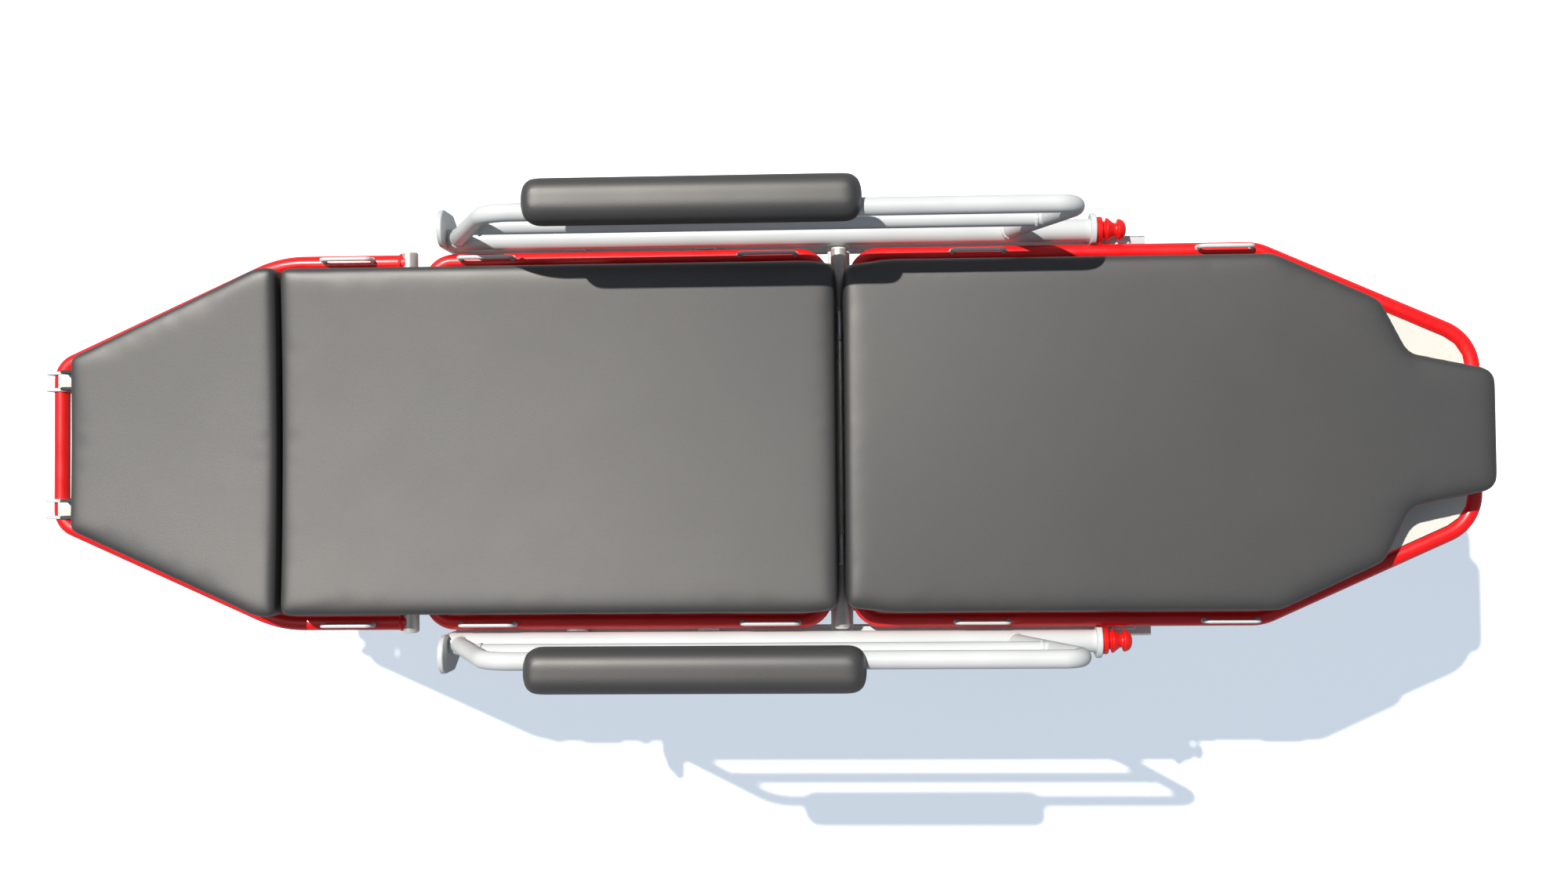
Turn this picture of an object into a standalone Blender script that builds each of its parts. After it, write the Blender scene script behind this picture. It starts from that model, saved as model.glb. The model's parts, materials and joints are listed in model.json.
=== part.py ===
"""Folding ambulance stretcher: a tubular mattress frame in three loops, two fold-down side rails, and a
scissor undercarriage on four swivel casters. Metres, +Z up, +X towards the foot end, floor at z = 0."""

import math

import bmesh
import bpy
from mathutils import Matrix, Vector

GAP = 0.0003  # between neighbours that touch

# Mattress frame: 22 mm tube, all of it on one level
FRAME_Z = 0.626
FRAME_R = 0.011
FRAME_HALF = 0.245  # centreline of the side tubes
CORNER_R = 0.031
HEAD_END_X = -0.9495
HEAD_END_HALF = 0.107
HEAD_BEND_X = -0.6437
HEAD_TUBE_X = -0.465
BACK_X = (-0.435, 0.0983)
HINGE_X = 0.1215
HINGE_R = 0.0105
LEG_START_X = 0.145
LEG_BEND_X = 0.679
FOOT_END_X = 0.959
FOOT_END_HALF = 0.120

# Deck panels and cushions
PANEL_Z = (0.633, 0.636)
PANEL_INSET = 0.0115  # from a tube's centreline to the panel's edge
PAD_Z = (0.6375, 0.704)
PAD_HALF = 0.232
PAD_EDGE_R = 0.009
HEAD_PAD_X = (-0.9090, -0.6245)
BACK_PAD_X = (-0.6215, 0.118)
SOFT_EDGE_X = (0.1265, 0.200)  # the strip of the leg cushion that the raised back squeezes
FOOT_PAD_X = 0.9625

# Chassis beams, cross members and the tilting back's prop
BEAM_X = (-0.410, 0.538)
BEAM_Y = (0.257, 0.271)
BEAM_Z = (0.565, 0.600)
WALL = 0.0025
MEMBER_HALF = 0.262
MEMBER_WIDTH = 0.030
MEMBER_Z = (0.6003, 0.6147)
FOOT_MEMBER_X = 0.500
RACK_MEMBER_X = (-0.240, -0.060)
PROP_REACH = 0.250  # hinge to prop shaft, and prop shaft to foot rod
PROP_SHAFT_R = 0.004
PROP_ARM_Y = 0.190
PROP_R = 0.006
RACK_X = (-0.400, -0.030)
RACK_Y = 0.205
RACK_TEETH = 11

# Scissor legs
LEG_LENGTH = 0.800
LEG_R = 0.011
LEG_PIVOT_X = 0.400
BASE_AXIS_Z = 0.168
CHASSIS_AXIS_Z = 0.585
OUTER_LEG_Y = 0.236
INNER_LEG_Y = 0.208
PIN_R = 0.006
BOSS_R = 0.015
BOSS_HALF = 0.0118
AXLE_R = 0.008
ROLLER_R = 0.0122
LEG_RISE = CHASSIS_AXIS_Z - BASE_AXIS_Z
LEG_RUN = math.sqrt(LEG_LENGTH**2 - LEG_RISE**2)
SLIDER_X = LEG_PIVOT_X - LEG_RUN
CENTRE_X = LEG_PIVOT_X - LEG_RUN / 2
CENTRE_Z = BASE_AXIS_Z + LEG_RISE / 2
BRACE_REACH = 0.300  # from the centre pivot, along a leg, to its brace

# Base frame and casters
BASE_X = 0.480
BASE_Y = (0.250, 0.271)
BASE_Z = (0.153, 0.183)
BASE_TUBE_HALF = 0.015
CASTER_Y = 0.235
CASTER_TRAIL = 0.035
WHEEL_R = 0.0625
WHEEL_HALF = 0.015
STEM_R = 0.008
PEDAL_PIVOT = (-0.051, 0.143)  # x from the swivel axis, z

# Side rails
RAIL_Y = 0.2753
RAIL_R = 0.0114
RAIL_PIVOT_R = 0.015
RAIL_TOP_Z = 0.832
RAIL_MID_Z = 0.734
RAIL_MID_R = 0.011
RAIL_FOOT_X = (-0.402, 0.3455)
RAIL_CORNER_X = (-0.3135, 0.425)
PLATE_X = (-0.4177, -0.4103)
FLANGE_X = (0.459, 0.4664)
FLANGE_R = 0.0226
ARMREST_X = (-0.2643, 0.1515)
ARMREST_Y = 0.2857
ARMREST_Z = 0.840
ARMREST_R = 0.0285

# Strap loops on the side tubes: centre along X, and length
LOOPS = {
    "head": (-0.5475, 0.073),
    "back_upper": (-0.3565, 0.078),
    "back_lower": (0.0255, 0.081),
    "leg_upper": (0.3085, 0.075),
    "leg_lower": (0.6355, 0.076),
}
LOOP_R = 0.0028
LOOP_Y = 0.248
LOOP_TOP_Z = 0.652

# Loading wheels at the head end
LOADER_Y = 0.0875
LOADER_TIP_X = -0.970
LOADER_PLATE_Y = 0.0114
LOADER_PLATE = 0.0045
LOADER_WEB_X = (-0.9500, -0.9145)
LOADER_WEB_Z = (0.6373, 0.6391)
LOADER_STOP_X = (-0.9375, -0.9115)
LOADER_STOP_TOP = 0.660
LOADER_AXLE = (-0.918, 0.576)
LOADER_WHEEL_R = 0.040
LOADER_WHEEL_HALF = 0.007
LOADER_AXLE_R = 0.004

# Release handle under the foot end
HANDLE_PIVOT = (0.952, 0.603)
HANDLE_R = 0.004

SIDES = {"left": 1, "right": -1}
ENDS = {"head": -1, "foot": 1}

COLOURS = {  # base colour, roughness, metallic
    "red_paint": ((0.80, 0.015, 0.015), 0.35, 0.0),
    "white_paint": ((0.78, 0.79, 0.76), 0.40, 0.0),
    "bare_metal": ((0.58, 0.56, 0.50), 0.40, 0.6),
    "zinc": ((0.60, 0.60, 0.60), 0.35, 0.8),
    "deck_sheet": ((0.76, 0.74, 0.66), 0.50, 0.0),
    "cushion_vinyl": ((0.12, 0.12, 0.115), 0.60, 0.0),
    "red_plastic": ((0.75, 0.02, 0.02), 0.35, 0.0),
    "tyre_rubber": ((0.05, 0.05, 0.05), 0.80, 0.0),
}


def clear_scene():
    for obj in list(bpy.data.objects):
        bpy.data.objects.remove(obj, do_unlink=True)


def new_collection(name):
    collection = bpy.data.collections.new(name)
    bpy.context.scene.collection.children.link(collection)
    return collection


def new_material(name, colour, roughness, metallic):
    material = bpy.data.materials.new(name)
    material.use_nodes = True
    shader = material.node_tree.nodes["Principled BSDF"]
    shader.inputs["Base Color"].default_value = (*colour, 1)
    shader.inputs["Roughness"].default_value = roughness
    shader.inputs["Metallic"].default_value = metallic
    return material


clear_scene()
PARTS = new_collection("folding_stretcher")
CUTTERS = new_collection("cutters")
MATERIALS = {name: new_material(name, *look) for name, look in COLOURS.items()}


# ---------------------------------------------------------------- shapes


def mesh_object(name, mesh):
    obj = bpy.data.objects.new(name, mesh)
    PARTS.objects.link(obj)
    return obj


def baked(obj):
    """The object's evaluated mesh, with its modifiers applied and its loose caps welded."""
    bpy.context.view_layer.update()
    evaluated = obj.evaluated_get(bpy.context.evaluated_depsgraph_get())
    mesh = bpy.data.meshes.new_from_object(evaluated)
    work = bmesh.new()
    work.from_mesh(mesh)
    bmesh.ops.remove_doubles(work, verts=work.verts, dist=1e-6)
    bmesh.ops.recalc_face_normals(work, faces=work.faces)
    work.to_mesh(mesh)
    work.free()
    return mesh


def from_curve(name, curve):
    """A mesh object in place of a curve, so that it can be cut and joined."""
    obj = bpy.data.objects.new(name, curve)
    PARTS.objects.link(obj)
    mesh = baked(obj)
    bpy.data.objects.remove(obj, do_unlink=True)
    return mesh_object(name, mesh)


def box(name, x, y, z, bevel=0.0):
    """A box between two x, two y and two z values."""
    mesh = bpy.data.meshes.new(name)
    work = bmesh.new()
    bmesh.ops.create_cube(work, size=1)
    size = Vector((abs(x[1] - x[0]), abs(y[1] - y[0]), abs(z[1] - z[0])))
    centre = Vector((sum(x) / 2, sum(y) / 2, sum(z) / 2))
    bmesh.ops.scale(work, vec=size, verts=work.verts)
    bmesh.ops.translate(work, vec=centre, verts=work.verts)
    if bevel:
        bmesh.ops.bevel(work, geom=work.edges, offset=bevel, segments=1, affect="EDGES")
    work.to_mesh(mesh)
    work.free()
    return mesh_object(name, mesh)


def rod(name, start, end, radius, segments=16):
    """A straight round bar between two points."""
    start, end = Vector(start), Vector(end)
    mesh = bpy.data.meshes.new(name)
    work = bmesh.new()
    length = (end - start).length
    bmesh.ops.create_cone(
        work, cap_ends=True, segments=segments, radius1=radius, radius2=radius, depth=length
    )
    turn = (end - start).to_track_quat("Z", "Y").to_matrix().to_4x4()
    bmesh.ops.transform(work, matrix=Matrix.Translation((start + end) / 2) @ turn, verts=work.verts)
    work.to_mesh(mesh)
    work.free()
    return mesh_object(name, mesh)


def cross_rod(name, x, z, y, radius, segments=16):
    """A round bar along Y, between two y values."""
    return rod(name, (x, y[0], z), (x, y[1], z), radius, segments)


def rounded(corners, closed=False, step=math.radians(22.5)):
    """Points through (x, y, z, radius) corners, with an arc of that radius at each."""
    points = []
    for index, (*place, radius) in enumerate(corners):
        corner = Vector(place)
        is_end = not closed and index in (0, len(corners) - 1)
        if is_end or radius == 0:
            points.append(corner)
            continue
        before = (Vector(corners[index - 1][:3]) - corner).normalized()
        after = (Vector(corners[(index + 1) % len(corners)][:3]) - corner).normalized()
        half = before.angle(after) / 2
        turn = math.pi - 2 * half
        centre = corner + (before + after).normalized() * radius / math.sin(half)
        first = corner + before * radius / math.tan(half) - centre
        last = corner + after * radius / math.tan(half) - centre
        axis = first.cross(last)
        count = max(2, math.ceil(turn / step))
        for number in range(count + 1):
            points.append(centre + Matrix.Rotation(turn * number / count, 3, axis) @ first)
    return points


def tube(name, points, radius, closed=False, sides=12):
    """A round tube along the points."""
    curve = bpy.data.curves.new(name, "CURVE")
    curve.dimensions = "3D"
    curve.bevel_depth = radius
    curve.bevel_resolution = (sides - 4) // 2
    curve.use_fill_caps = True
    curve.twist_mode = "MINIMUM"
    spline = curve.splines.new("POLY")
    spline.points.add(len(points) - 1)
    for knot, point in zip(spline.points, points):
        knot.co = (*point, 1)
    spline.use_cyclic_u = closed
    return from_curve(name, curve)


def plate(name, corners, low, high, plane="XY"):
    """A flat outline with rounded (a, b, radius) corners, from low to high along the plane's normal."""
    outline = rounded([(a, b, 0, radius) for a, b, radius in corners], closed=True)
    curve = bpy.data.curves.new(name, "CURVE")
    curve.dimensions = "2D"
    curve.fill_mode = "BOTH"
    curve.extrude = (high - low) / 2
    spline = curve.splines.new("POLY")
    spline.points.add(len(outline) - 1)
    for knot, point in zip(spline.points, outline):
        knot.co = (point.x, point.y, 0, 1)
    spline.use_cyclic_u = True
    obj = from_curve(name, curve)
    middle = (low + high) / 2
    frames = {
        "XY": Matrix.Translation((0, 0, middle)),
        "XZ": Matrix.Translation((0, middle, 0)) @ Matrix.Rotation(math.pi / 2, 4, "X"),
        "YZ": Matrix.Translation((middle, 0, 0)) @ Matrix(((0, 0, 1), (1, 0, 0), (0, 1, 0))).to_4x4(),
    }
    obj.data.transform(frames[plane])
    return obj


def mirrored_outline(corners):
    """Corners given on the +Y side, from the head to the foot, and their mirror images."""
    return [(x, -y, r) for x, y, r in corners] + [(x, y, r) for x, y, r in reversed(corners)]


def turned(name, profile, axis="Z", steps=24):
    """A (radius, height) profile turned about the axis, with the height along the axis. It runs from top
    to bottom on the outside."""
    mesh = bpy.data.meshes.new(name)
    work = bmesh.new()
    knots = [work.verts.new((radius, 0, height)) for radius, height in profile]
    for first, second in zip(knots, knots[1:]):
        work.edges.new((first, second))
    work.to_mesh(mesh)
    work.free()
    obj = mesh_object(name, mesh)
    screw = obj.modifiers.new("turn", "SCREW")
    screw.steps = steps
    screw.render_steps = steps
    screw.use_merge_vertices = True
    screw.merge_threshold = 1e-5
    obj.data = baked(obj)
    obj.modifiers.clear()
    turns = {"X": Matrix.Rotation(math.pi / 2, 4, "Y"), "Y": Matrix.Rotation(-math.pi / 2, 4, "X")}
    obj.data.transform(turns.get(axis, Matrix.Identity(4)))
    return obj


def boolean(obj, tool, operation):
    modifier = obj.modifiers.new(operation.lower(), "BOOLEAN")
    modifier.operation = operation
    modifier.solver = "EXACT"
    modifier.object = tool
    obj.data = baked(obj)
    obj.modifiers.clear()


def join(obj, *pieces):
    """Welds the pieces to obj, and leaves one object."""
    for piece in pieces:
        boolean(obj, piece, "UNION")
        bpy.data.objects.remove(piece, do_unlink=True)
    return obj


def cut(obj, *cutters):
    """Cuts obj with each cutter, which is kept, hidden, in the cutters' collection."""
    for cutter in cutters:
        boolean(obj, cutter, "DIFFERENCE")
        if cutter.name not in CUTTERS.objects:
            PARTS.objects.unlink(cutter)
            CUTTERS.objects.link(cutter)
            cutter.hide_render = True
            cutter.display_type = "WIRE"
    return obj


def finish(obj, material, smooth=40):
    obj.data.materials.clear()
    obj.data.materials.append(MATERIALS[material])
    obj.data.shade_smooth()
    obj.data.set_sharp_from_angle(angle=math.radians(smooth))
    return obj


def copies(obj, places):
    """One object for each named place, sharing obj's mesh. obj itself takes the first."""
    placed = {}
    for name, location in places.items():
        twin = obj if not placed else mesh_object(name, obj.data)
        twin.name = name
        twin.location = location
        placed[name] = twin
    return placed


# ---------------------------------------------------------------- base and casters


def base_tube(name, x):
    """An end tube of the base, with a socket for a caster's stem near each end."""
    tube_x = (x - BASE_TUBE_HALF, x + BASE_TUBE_HALF)
    bar = box(name, tube_x, (-BASE_Y[1], BASE_Y[1]), BASE_Z, 0.003)
    for side in SIDES.values():
        y = side * CASTER_Y
        cut(bar, rod(f"{name}_socket", (x, y, 0.150), (x, y, 0.1785), STEM_R + GAP))
    return finish(bar, "white_paint")


def base_rail(name, side):
    """A channel between the end tubes, open towards the middle, with a block and a pin for the outer leg."""
    end = BASE_X - BASE_TUBE_HALF - GAP
    rail = box(name, (-end, end), sorted((side * BASE_Y[0], side * BASE_Y[1])), BASE_Z)
    inner_y = sorted((side * (BASE_Y[0] - 0.003), side * (BASE_Y[1] - WALL)))
    cut(rail, box("channel_hollow", (-BASE_X, BASE_X), inner_y, (BASE_Z[0] + WALL, BASE_Z[1] - WALL)))
    block_y = sorted((side * (BASE_Y[0] + 0.001), side * (BASE_Y[1] - 0.001)))
    block_z = (BASE_Z[0] + 0.001, BASE_Z[1] - 0.001)
    block = box("block", (LEG_PIVOT_X - 0.015, LEG_PIVOT_X + 0.015), block_y, block_z)
    pin = cross_rod("pin", LEG_PIVOT_X, BASE_AXIS_Z, (side * 0.260, side * 0.2205), PIN_R)
    nut_y = side * (OUTER_LEG_Y - BOSS_HALF - GAP)
    nut = cross_rod("nut", LEG_PIVOT_X, BASE_AXIS_Z, (nut_y, nut_y - side * 0.004), 0.010, 6)
    return finish(join(rail, block, pin, nut), "white_paint")


def caster_fork(name, braked):
    """A fork about its swivel axis, which is at x = 0, y = 0."""
    fork = box(name, (-0.060, 0.024), (-0.0205, 0.0205), (0.131, 0.137), 0.001)
    bearing = rod("bearing", (0, 0, 0.136), (0, 0, BASE_Z[0] - GAP), 0.016)
    stem = rod("stem", (0, 0, 0.150), (0, 0, 0.178), STEM_R)
    cheeks = []
    for side in SIDES.values():
        y = sorted((side * 0.0165, side * 0.0205))
        outline = [(0.024, 0.1345, 0), (0.024, 0.118, 0.008), (-0.022, 0.050, 0.012),
                   (-0.048, 0.050, 0.012), (-0.060, 0.118, 0.008), (-0.060, 0.1345, 0)]
        cheeks.append(plate("cheek", outline, *y, plane="XZ"))
    axle = cross_rod("axle", -CASTER_TRAIL, WHEEL_R, (-0.0195, 0.0195), 0.005)
    join(fork, bearing, stem, *cheeks, axle)
    if braked:
        x, z = PEDAL_PIVOT
        for side in SIDES.values():
            y = sorted((side * 0.0125, side * 0.0165))
            join(fork, box("ear", (x - 0.007, x + 0.007), y, (0.136, 0.1495)))
        join(fork, cross_rod("ear_pin", x, z, (-0.014, 0.014), 0.003))
    return finish(fork, "zinc")


def caster_wheel(name):
    half, radius = WHEEL_HALF, WHEEL_R
    side = [(radius, 0.008), (0.057, half), (0.048, 0.010), (0.016, 0.010), (0.014, half - 0.001),
            (0.0053, half - 0.001)]
    profile = list(reversed(side)) + [(r, -y) for r, y in side] + [side[-1]]
    return finish(turned(name, profile, "Y", steps=20), "tyre_rubber", smooth=30)


def brake_pedal(name):
    x, z = PEDAL_PIVOT
    pedal = cross_rod(name, x, z, (-0.0120, 0.0120), 0.0057)
    arm = box("arm", (-0.125, x), (-0.011, 0.011), (0.1405, 0.1445), 0.001)
    tread = box("tread", (-0.130, -0.100), (-0.024, 0.024), (0.1415, 0.1480), 0.002)
    join(pedal, arm, tread)
    cut(pedal, cross_rod("pedal_bore", x, z, (-0.020, 0.020), 0.0033))
    return finish(pedal, "red_plastic")


def casters():
    """Forks, wheels and the two foot-end brake pedals, each with its swivel axis."""
    plain = caster_fork("plain_fork", False)
    braked = caster_fork("braked_fork", True)
    groups = []
    for end_name, end in ENDS.items():
        places = {f"{end_name}_{side_name}": (end * BASE_X, side * CASTER_Y, 0)
                  for side_name, side in SIDES.items()}
        fork = braked if end_name == "foot" else plain
        forks = copies(fork, {f"caster_fork_{tag}": place for tag, place in places.items()})
        groups += list(zip(places, places.values(), forks.values()))
    wheel_places = {f"caster_wheel_{tag}": (x - CASTER_TRAIL, y, WHEEL_R) for tag, (x, y, _), _ in groups}
    wheels = copies(caster_wheel("wheel"), wheel_places)
    pedals = copies(brake_pedal("pedal"), {f"brake_pedal_{tag}": place for tag, place, _ in groups[2:]})
    return groups, wheels, pedals


# ---------------------------------------------------------------- scissor legs


def leg_frame_pair(name, leg_y, fixed, sliding, channel_y, bar_half=None):
    """Two legs from the fixed end to the sliding end, with a brace, pivot bosses and an axle whose rollers
    run in the channels. The fixed end is bored for pins, or welded to a pivot bar of the given half
    length."""
    fixed, sliding = Vector(fixed), Vector(sliding)
    centre = (fixed + sliding) / 2
    along = (fixed - sliding).normalized()
    brace = centre + along * BRACE_REACH
    obj = cross_rod(name, brace.x, brace.z, (-leg_y, leg_y), 0.009, 12)
    axle = cross_rod("axle", sliding.x, sliding.z, (-channel_y[1], channel_y[1]), AXLE_R, 12)
    join(obj, axle)
    if bar_half:
        join(obj, cross_rod("pivot_bar", fixed.x, fixed.z, (-bar_half, bar_half), PIN_R))
    for side in SIDES.values():
        shift = Vector((0, side * leg_y, 0))
        leg = rod("leg", fixed + shift, sliding + shift, LEG_R, 12)
        for place in (fixed, centre):
            faces = (side * leg_y - BOSS_HALF, side * leg_y + BOSS_HALF)
            join(leg, cross_rod("boss", place.x, place.z, faces, BOSS_R))
        bore = (side * leg_y - BOSS_R, side * leg_y + BOSS_R)
        for place in ((centre,) if bar_half else (fixed, centre)):
            cut(leg, cross_rod(f"{name}_bore", place.x, place.z, bore, PIN_R + GAP))
        roller = (side * channel_y[0], side * channel_y[1])
        join(obj, leg, cross_rod("roller", sliding.x, sliding.z, roller, ROLLER_R))
    return finish(obj, "white_paint")


def outer_leg_frame():
    fixed = (LEG_PIVOT_X, 0, BASE_AXIS_Z)
    return leg_frame_pair("outer_leg_frame", OUTER_LEG_Y, fixed, (SLIDER_X, 0, CHASSIS_AXIS_Z), (0.258, 0.268))


def inner_leg_frame():
    """Its top pivot bar turns in the chassis rails' blocks."""
    fixed, sliding = (LEG_PIVOT_X, 0, CHASSIS_AXIS_Z), (SLIDER_X, 0, BASE_AXIS_Z)
    bar_half = BEAM_Y[1] - WALL - GAP
    return leg_frame_pair("inner_leg_frame", INNER_LEG_Y, fixed, sliding, (0.252, 0.268), bar_half)


def leg_pivot_shaft():
    shaft = cross_rod("leg_pivot_shaft", CENTRE_X, CENTRE_Z, (-0.2525, 0.2525), PIN_R)
    for side in SIDES.values():
        spacer = (side * (INNER_LEG_Y + BOSS_HALF + GAP), side * (OUTER_LEG_Y - BOSS_HALF - GAP))
        nut = (side * (OUTER_LEG_Y + BOSS_HALF + GAP), side * 0.2515)
        join(shaft, cross_rod("spacer", CENTRE_X, CENTRE_Z, spacer, 0.010))
        join(shaft, cross_rod("nut", CENTRE_X, CENTRE_Z, nut, 0.010, 6))
    return finish(shaft, "zinc")


# ---------------------------------------------------------------- chassis


def chassis_rail(name, side):
    """A channel, open towards the middle, with a bearing block for the leg pivot bar."""
    y = sorted((side * BEAM_Y[0], side * BEAM_Y[1]))
    rail = box(name, BEAM_X, y, BEAM_Z)
    inner_y = sorted((side * (BEAM_Y[0] - 0.003), side * (BEAM_Y[1] - WALL)))
    cut(rail, box("beam_hollow", (-0.450, 0.560), inner_y, (BEAM_Z[0] + WALL, BEAM_Z[1] - WALL)))
    block_y = sorted((side * (BEAM_Y[0] + 0.001), side * (BEAM_Y[1] - 0.001)))
    block_x = (LEG_PIVOT_X - 0.015, LEG_PIVOT_X + 0.015)
    join(rail, box("block", block_x, block_y, (BEAM_Z[0] + 0.001, BEAM_Z[1] - 0.001)))
    bore = (side * (BEAM_Y[0] - 0.002), side * (BEAM_Y[1] - WALL))
    cut(rail, cross_rod("bar_bore", LEG_PIVOT_X, CHASSIS_AXIS_Z, bore, PIN_R + GAP))
    return finish(rail, "white_paint")


def cross_member(name, x, top=MEMBER_Z[1]):
    half = MEMBER_WIDTH / 2
    return box(name, (x - half, x + half), (-MEMBER_HALF, MEMBER_HALF), (MEMBER_Z[0], top), 0.002)


def hinge_cross_member():
    member = cross_member("hinge_cross_member", HINGE_X, top=0.6134)
    for side in SIDES.values():
        y = sorted((side * 0.035, side * 0.065))
        join(member, box("saddle", (HINGE_X - 0.0075, HINGE_X + 0.0075), y, (0.611, 0.619)))
    cut(member, cross_rod("saddle_seat", HINGE_X, FRAME_Z, (-0.070, 0.070), HINGE_R + GAP, 24))
    return finish(member, "white_paint")


def rack_frame():
    """Two cross members that carry the toothed racks, on which the back prop's foot rod travels."""
    frame = cross_member("rack_frame", RACK_MEMBER_X[0])
    join(frame, cross_member("member", RACK_MEMBER_X[1]))
    rod_low = FRAME_Z - PROP_R - GAP
    pitch = (RACK_X[1] - RACK_X[0]) / RACK_TEETH
    outline = [(RACK_X[0], 0.612, 0), (RACK_X[1], 0.612, 0)]
    for tooth in range(RACK_TEETH):
        right = RACK_X[1] - tooth * pitch
        outline += [(right, 0.6165, 0), (right - pitch + 0.004, rod_low, 0), (right - pitch, rod_low, 0)]
    for side in SIDES.values():
        y = (side * RACK_Y - 0.006, side * RACK_Y + 0.006)
        join(frame, plate("rack", outline, *y, plane="XZ"))
    return finish(frame, "zinc")


def cross_tube(name, x, half, radius):
    bar = cross_rod(name, x, FRAME_Z, (-half, half), radius, 24)
    bevel = bar.modifiers.new("edge", "BEVEL")
    bevel.width = 0.001
    bevel.segments = 1
    bevel.limit_method = "ANGLE"
    bevel.angle_limit = math.radians(60)
    return finish(bar, "bare_metal")


# ---------------------------------------------------------------- mattress frame


def head_tube(name, radius):
    half_run = [(HEAD_TUBE_X - 0.003, FRAME_HALF, FRAME_Z, 0), (HEAD_BEND_X, FRAME_HALF, FRAME_Z, 0.150),
                (HEAD_END_X, HEAD_END_HALF, FRAME_Z, 0.028)]
    other_run = [(x, -y, z, r) for x, y, z, r in reversed(half_run)]
    return tube(name, rounded(half_run + other_run, step=math.radians(12)), radius)


def head_frame():
    """A U of tube that narrows to the head end; its ends are shaped to the head cross tube."""
    frame = head_tube("head_frame", FRAME_R)
    cut(frame, cross_rod("head_cope", HEAD_TUBE_X, FRAME_Z, (-0.280, 0.280), FRAME_R + GAP, 24))
    cut(frame, box("head_trim", (HEAD_TUBE_X, HEAD_TUBE_X + 0.020), (-0.280, 0.280), (0.600, 0.650)))
    return finish(frame, "red_paint")


def back_frame():
    """A closed loop with two knuckles round the hinge tube, the prop's shaft and two links to the head
    cross tube."""
    corners = [(BACK_X[0], -FRAME_HALF), (BACK_X[1], -FRAME_HALF), (BACK_X[1], FRAME_HALF), (BACK_X[0], FRAME_HALF)]
    frame = tube("back_frame", rounded([(x, y, FRAME_Z, CORNER_R) for x, y in corners], closed=True),
                 FRAME_R, closed=True)
    shaft_x = HINGE_X - PROP_REACH
    join(frame, cross_rod("prop_shaft", shaft_x, FRAME_Z, (-FRAME_HALF, FRAME_HALF), PROP_SHAFT_R))
    for side in SIDES.values():
        y = sorted((side * 0.130, side * 0.170))
        knuckle = cross_rod("knuckle", HINGE_X, FRAME_Z, y, 0.0122, 24)
        web = box("web", (BACK_X[1] + 0.002, HINGE_X - 0.009), y, (FRAME_Z - 0.007, FRAME_Z + 0.007))
        link_y = sorted((side * 0.170, side * 0.200))
        link = box("link", (HEAD_TUBE_X - 0.012, BACK_X[0] + 0.008), link_y, (0.6115, 0.6147))
        pad = box("link_pad", (BACK_X[0] - 0.005, BACK_X[0] + 0.005), link_y, (0.6125, 0.618))
        join(frame, knuckle, web, link, pad)
    cut(frame, cross_rod("hinge_bore", HINGE_X, FRAME_Z, (-0.180, 0.180), HINGE_R + GAP, 24))
    return finish(frame, "red_paint")


def leg_frame():
    """A closed loop that narrows to the foot end, with two lugs for the release handle."""
    half_run = [(LEG_START_X, FRAME_HALF, CORNER_R), (LEG_BEND_X, FRAME_HALF, 0.060),
                (FOOT_END_X, FOOT_END_HALF, 0.058)]
    corners = [(x, y, FRAME_Z, r) for x, y, r in mirrored_outline(half_run)]
    frame = tube("leg_frame", rounded(corners, closed=True), FRAME_R, closed=True)
    x, z = HANDLE_PIVOT
    for side in SIDES.values():
        y = sorted((side * 0.052, side * 0.058))
        join(frame, box("lug", (x - 0.008, x + 0.008), y, (z - 0.008, FRAME_Z - 0.003)))
    cut(frame, cross_rod("lug_bore", x, z, (-0.070, 0.070), HANDLE_R + GAP))
    return finish(frame, "red_paint")


def release_handle():
    x, z = HANDLE_PIVOT
    grip_x, grip_z, reach = x - 0.067, z - 0.012, 0.068
    half_run = [(x, 0.050, z, 0), (x, reach, z, 0.008), (grip_x, reach, grip_z, 0.012)]
    other_run = [(px, -py, pz, r) for px, py, pz, r in reversed(half_run)]
    points = rounded(half_run + other_run, step=math.radians(22.5))
    return finish(tube("release_handle", points, HANDLE_R, sides=8), "zinc")


def head_panel():
    half_run = [(HEAD_END_X + PANEL_INSET + 0.004, 0.1015, 0.016), (HEAD_BEND_X + 0.0023, 0.2335, 0.138),
                (HEAD_TUBE_X - PANEL_INSET, 0.2335, 0)]
    panel = plate("head_panel", mirrored_outline(half_run), *PANEL_Z)
    for side in SIDES.values():
        y = (side * LOADER_Y - 0.0150, side * LOADER_Y + 0.0150)
        cut(panel, box("loader_notch", (-0.960, -0.9080), y, (0.620, 0.650)))
    return finish(panel, "deck_sheet")


def back_panel():
    x = (BACK_X[0] + PANEL_INSET, BACK_X[1] - PANEL_INSET)
    y = FRAME_HALF - PANEL_INSET
    corners = [(x[0], -y), (x[1], -y), (x[1], y), (x[0], y)]
    return finish(plate("back_panel", [(a, b, CORNER_R - PANEL_INSET) for a, b in corners], *PANEL_Z), "deck_sheet")


def leg_panel():
    half_run = [(LEG_START_X + PANEL_INSET, FRAME_HALF - PANEL_INSET, CORNER_R - PANEL_INSET),
                (LEG_BEND_X - 0.0024, FRAME_HALF - PANEL_INSET, 0.048),
                (FOOT_END_X - PANEL_INSET, 0.1127, 0.046)]
    return finish(plate("leg_panel", mirrored_outline(half_run), *PANEL_Z), "deck_sheet")


# ---------------------------------------------------------------- cushions


def cushion(name, corners):
    pad = plate(name, corners, *PAD_Z)
    bevel = pad.modifiers.new("edge", "BEVEL")
    bevel.width = PAD_EDGE_R
    bevel.segments = 2
    bevel.limit_method = "ANGLE"
    bevel.angle_limit = math.radians(60)
    return finish(pad, "cushion_vinyl")


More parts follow.
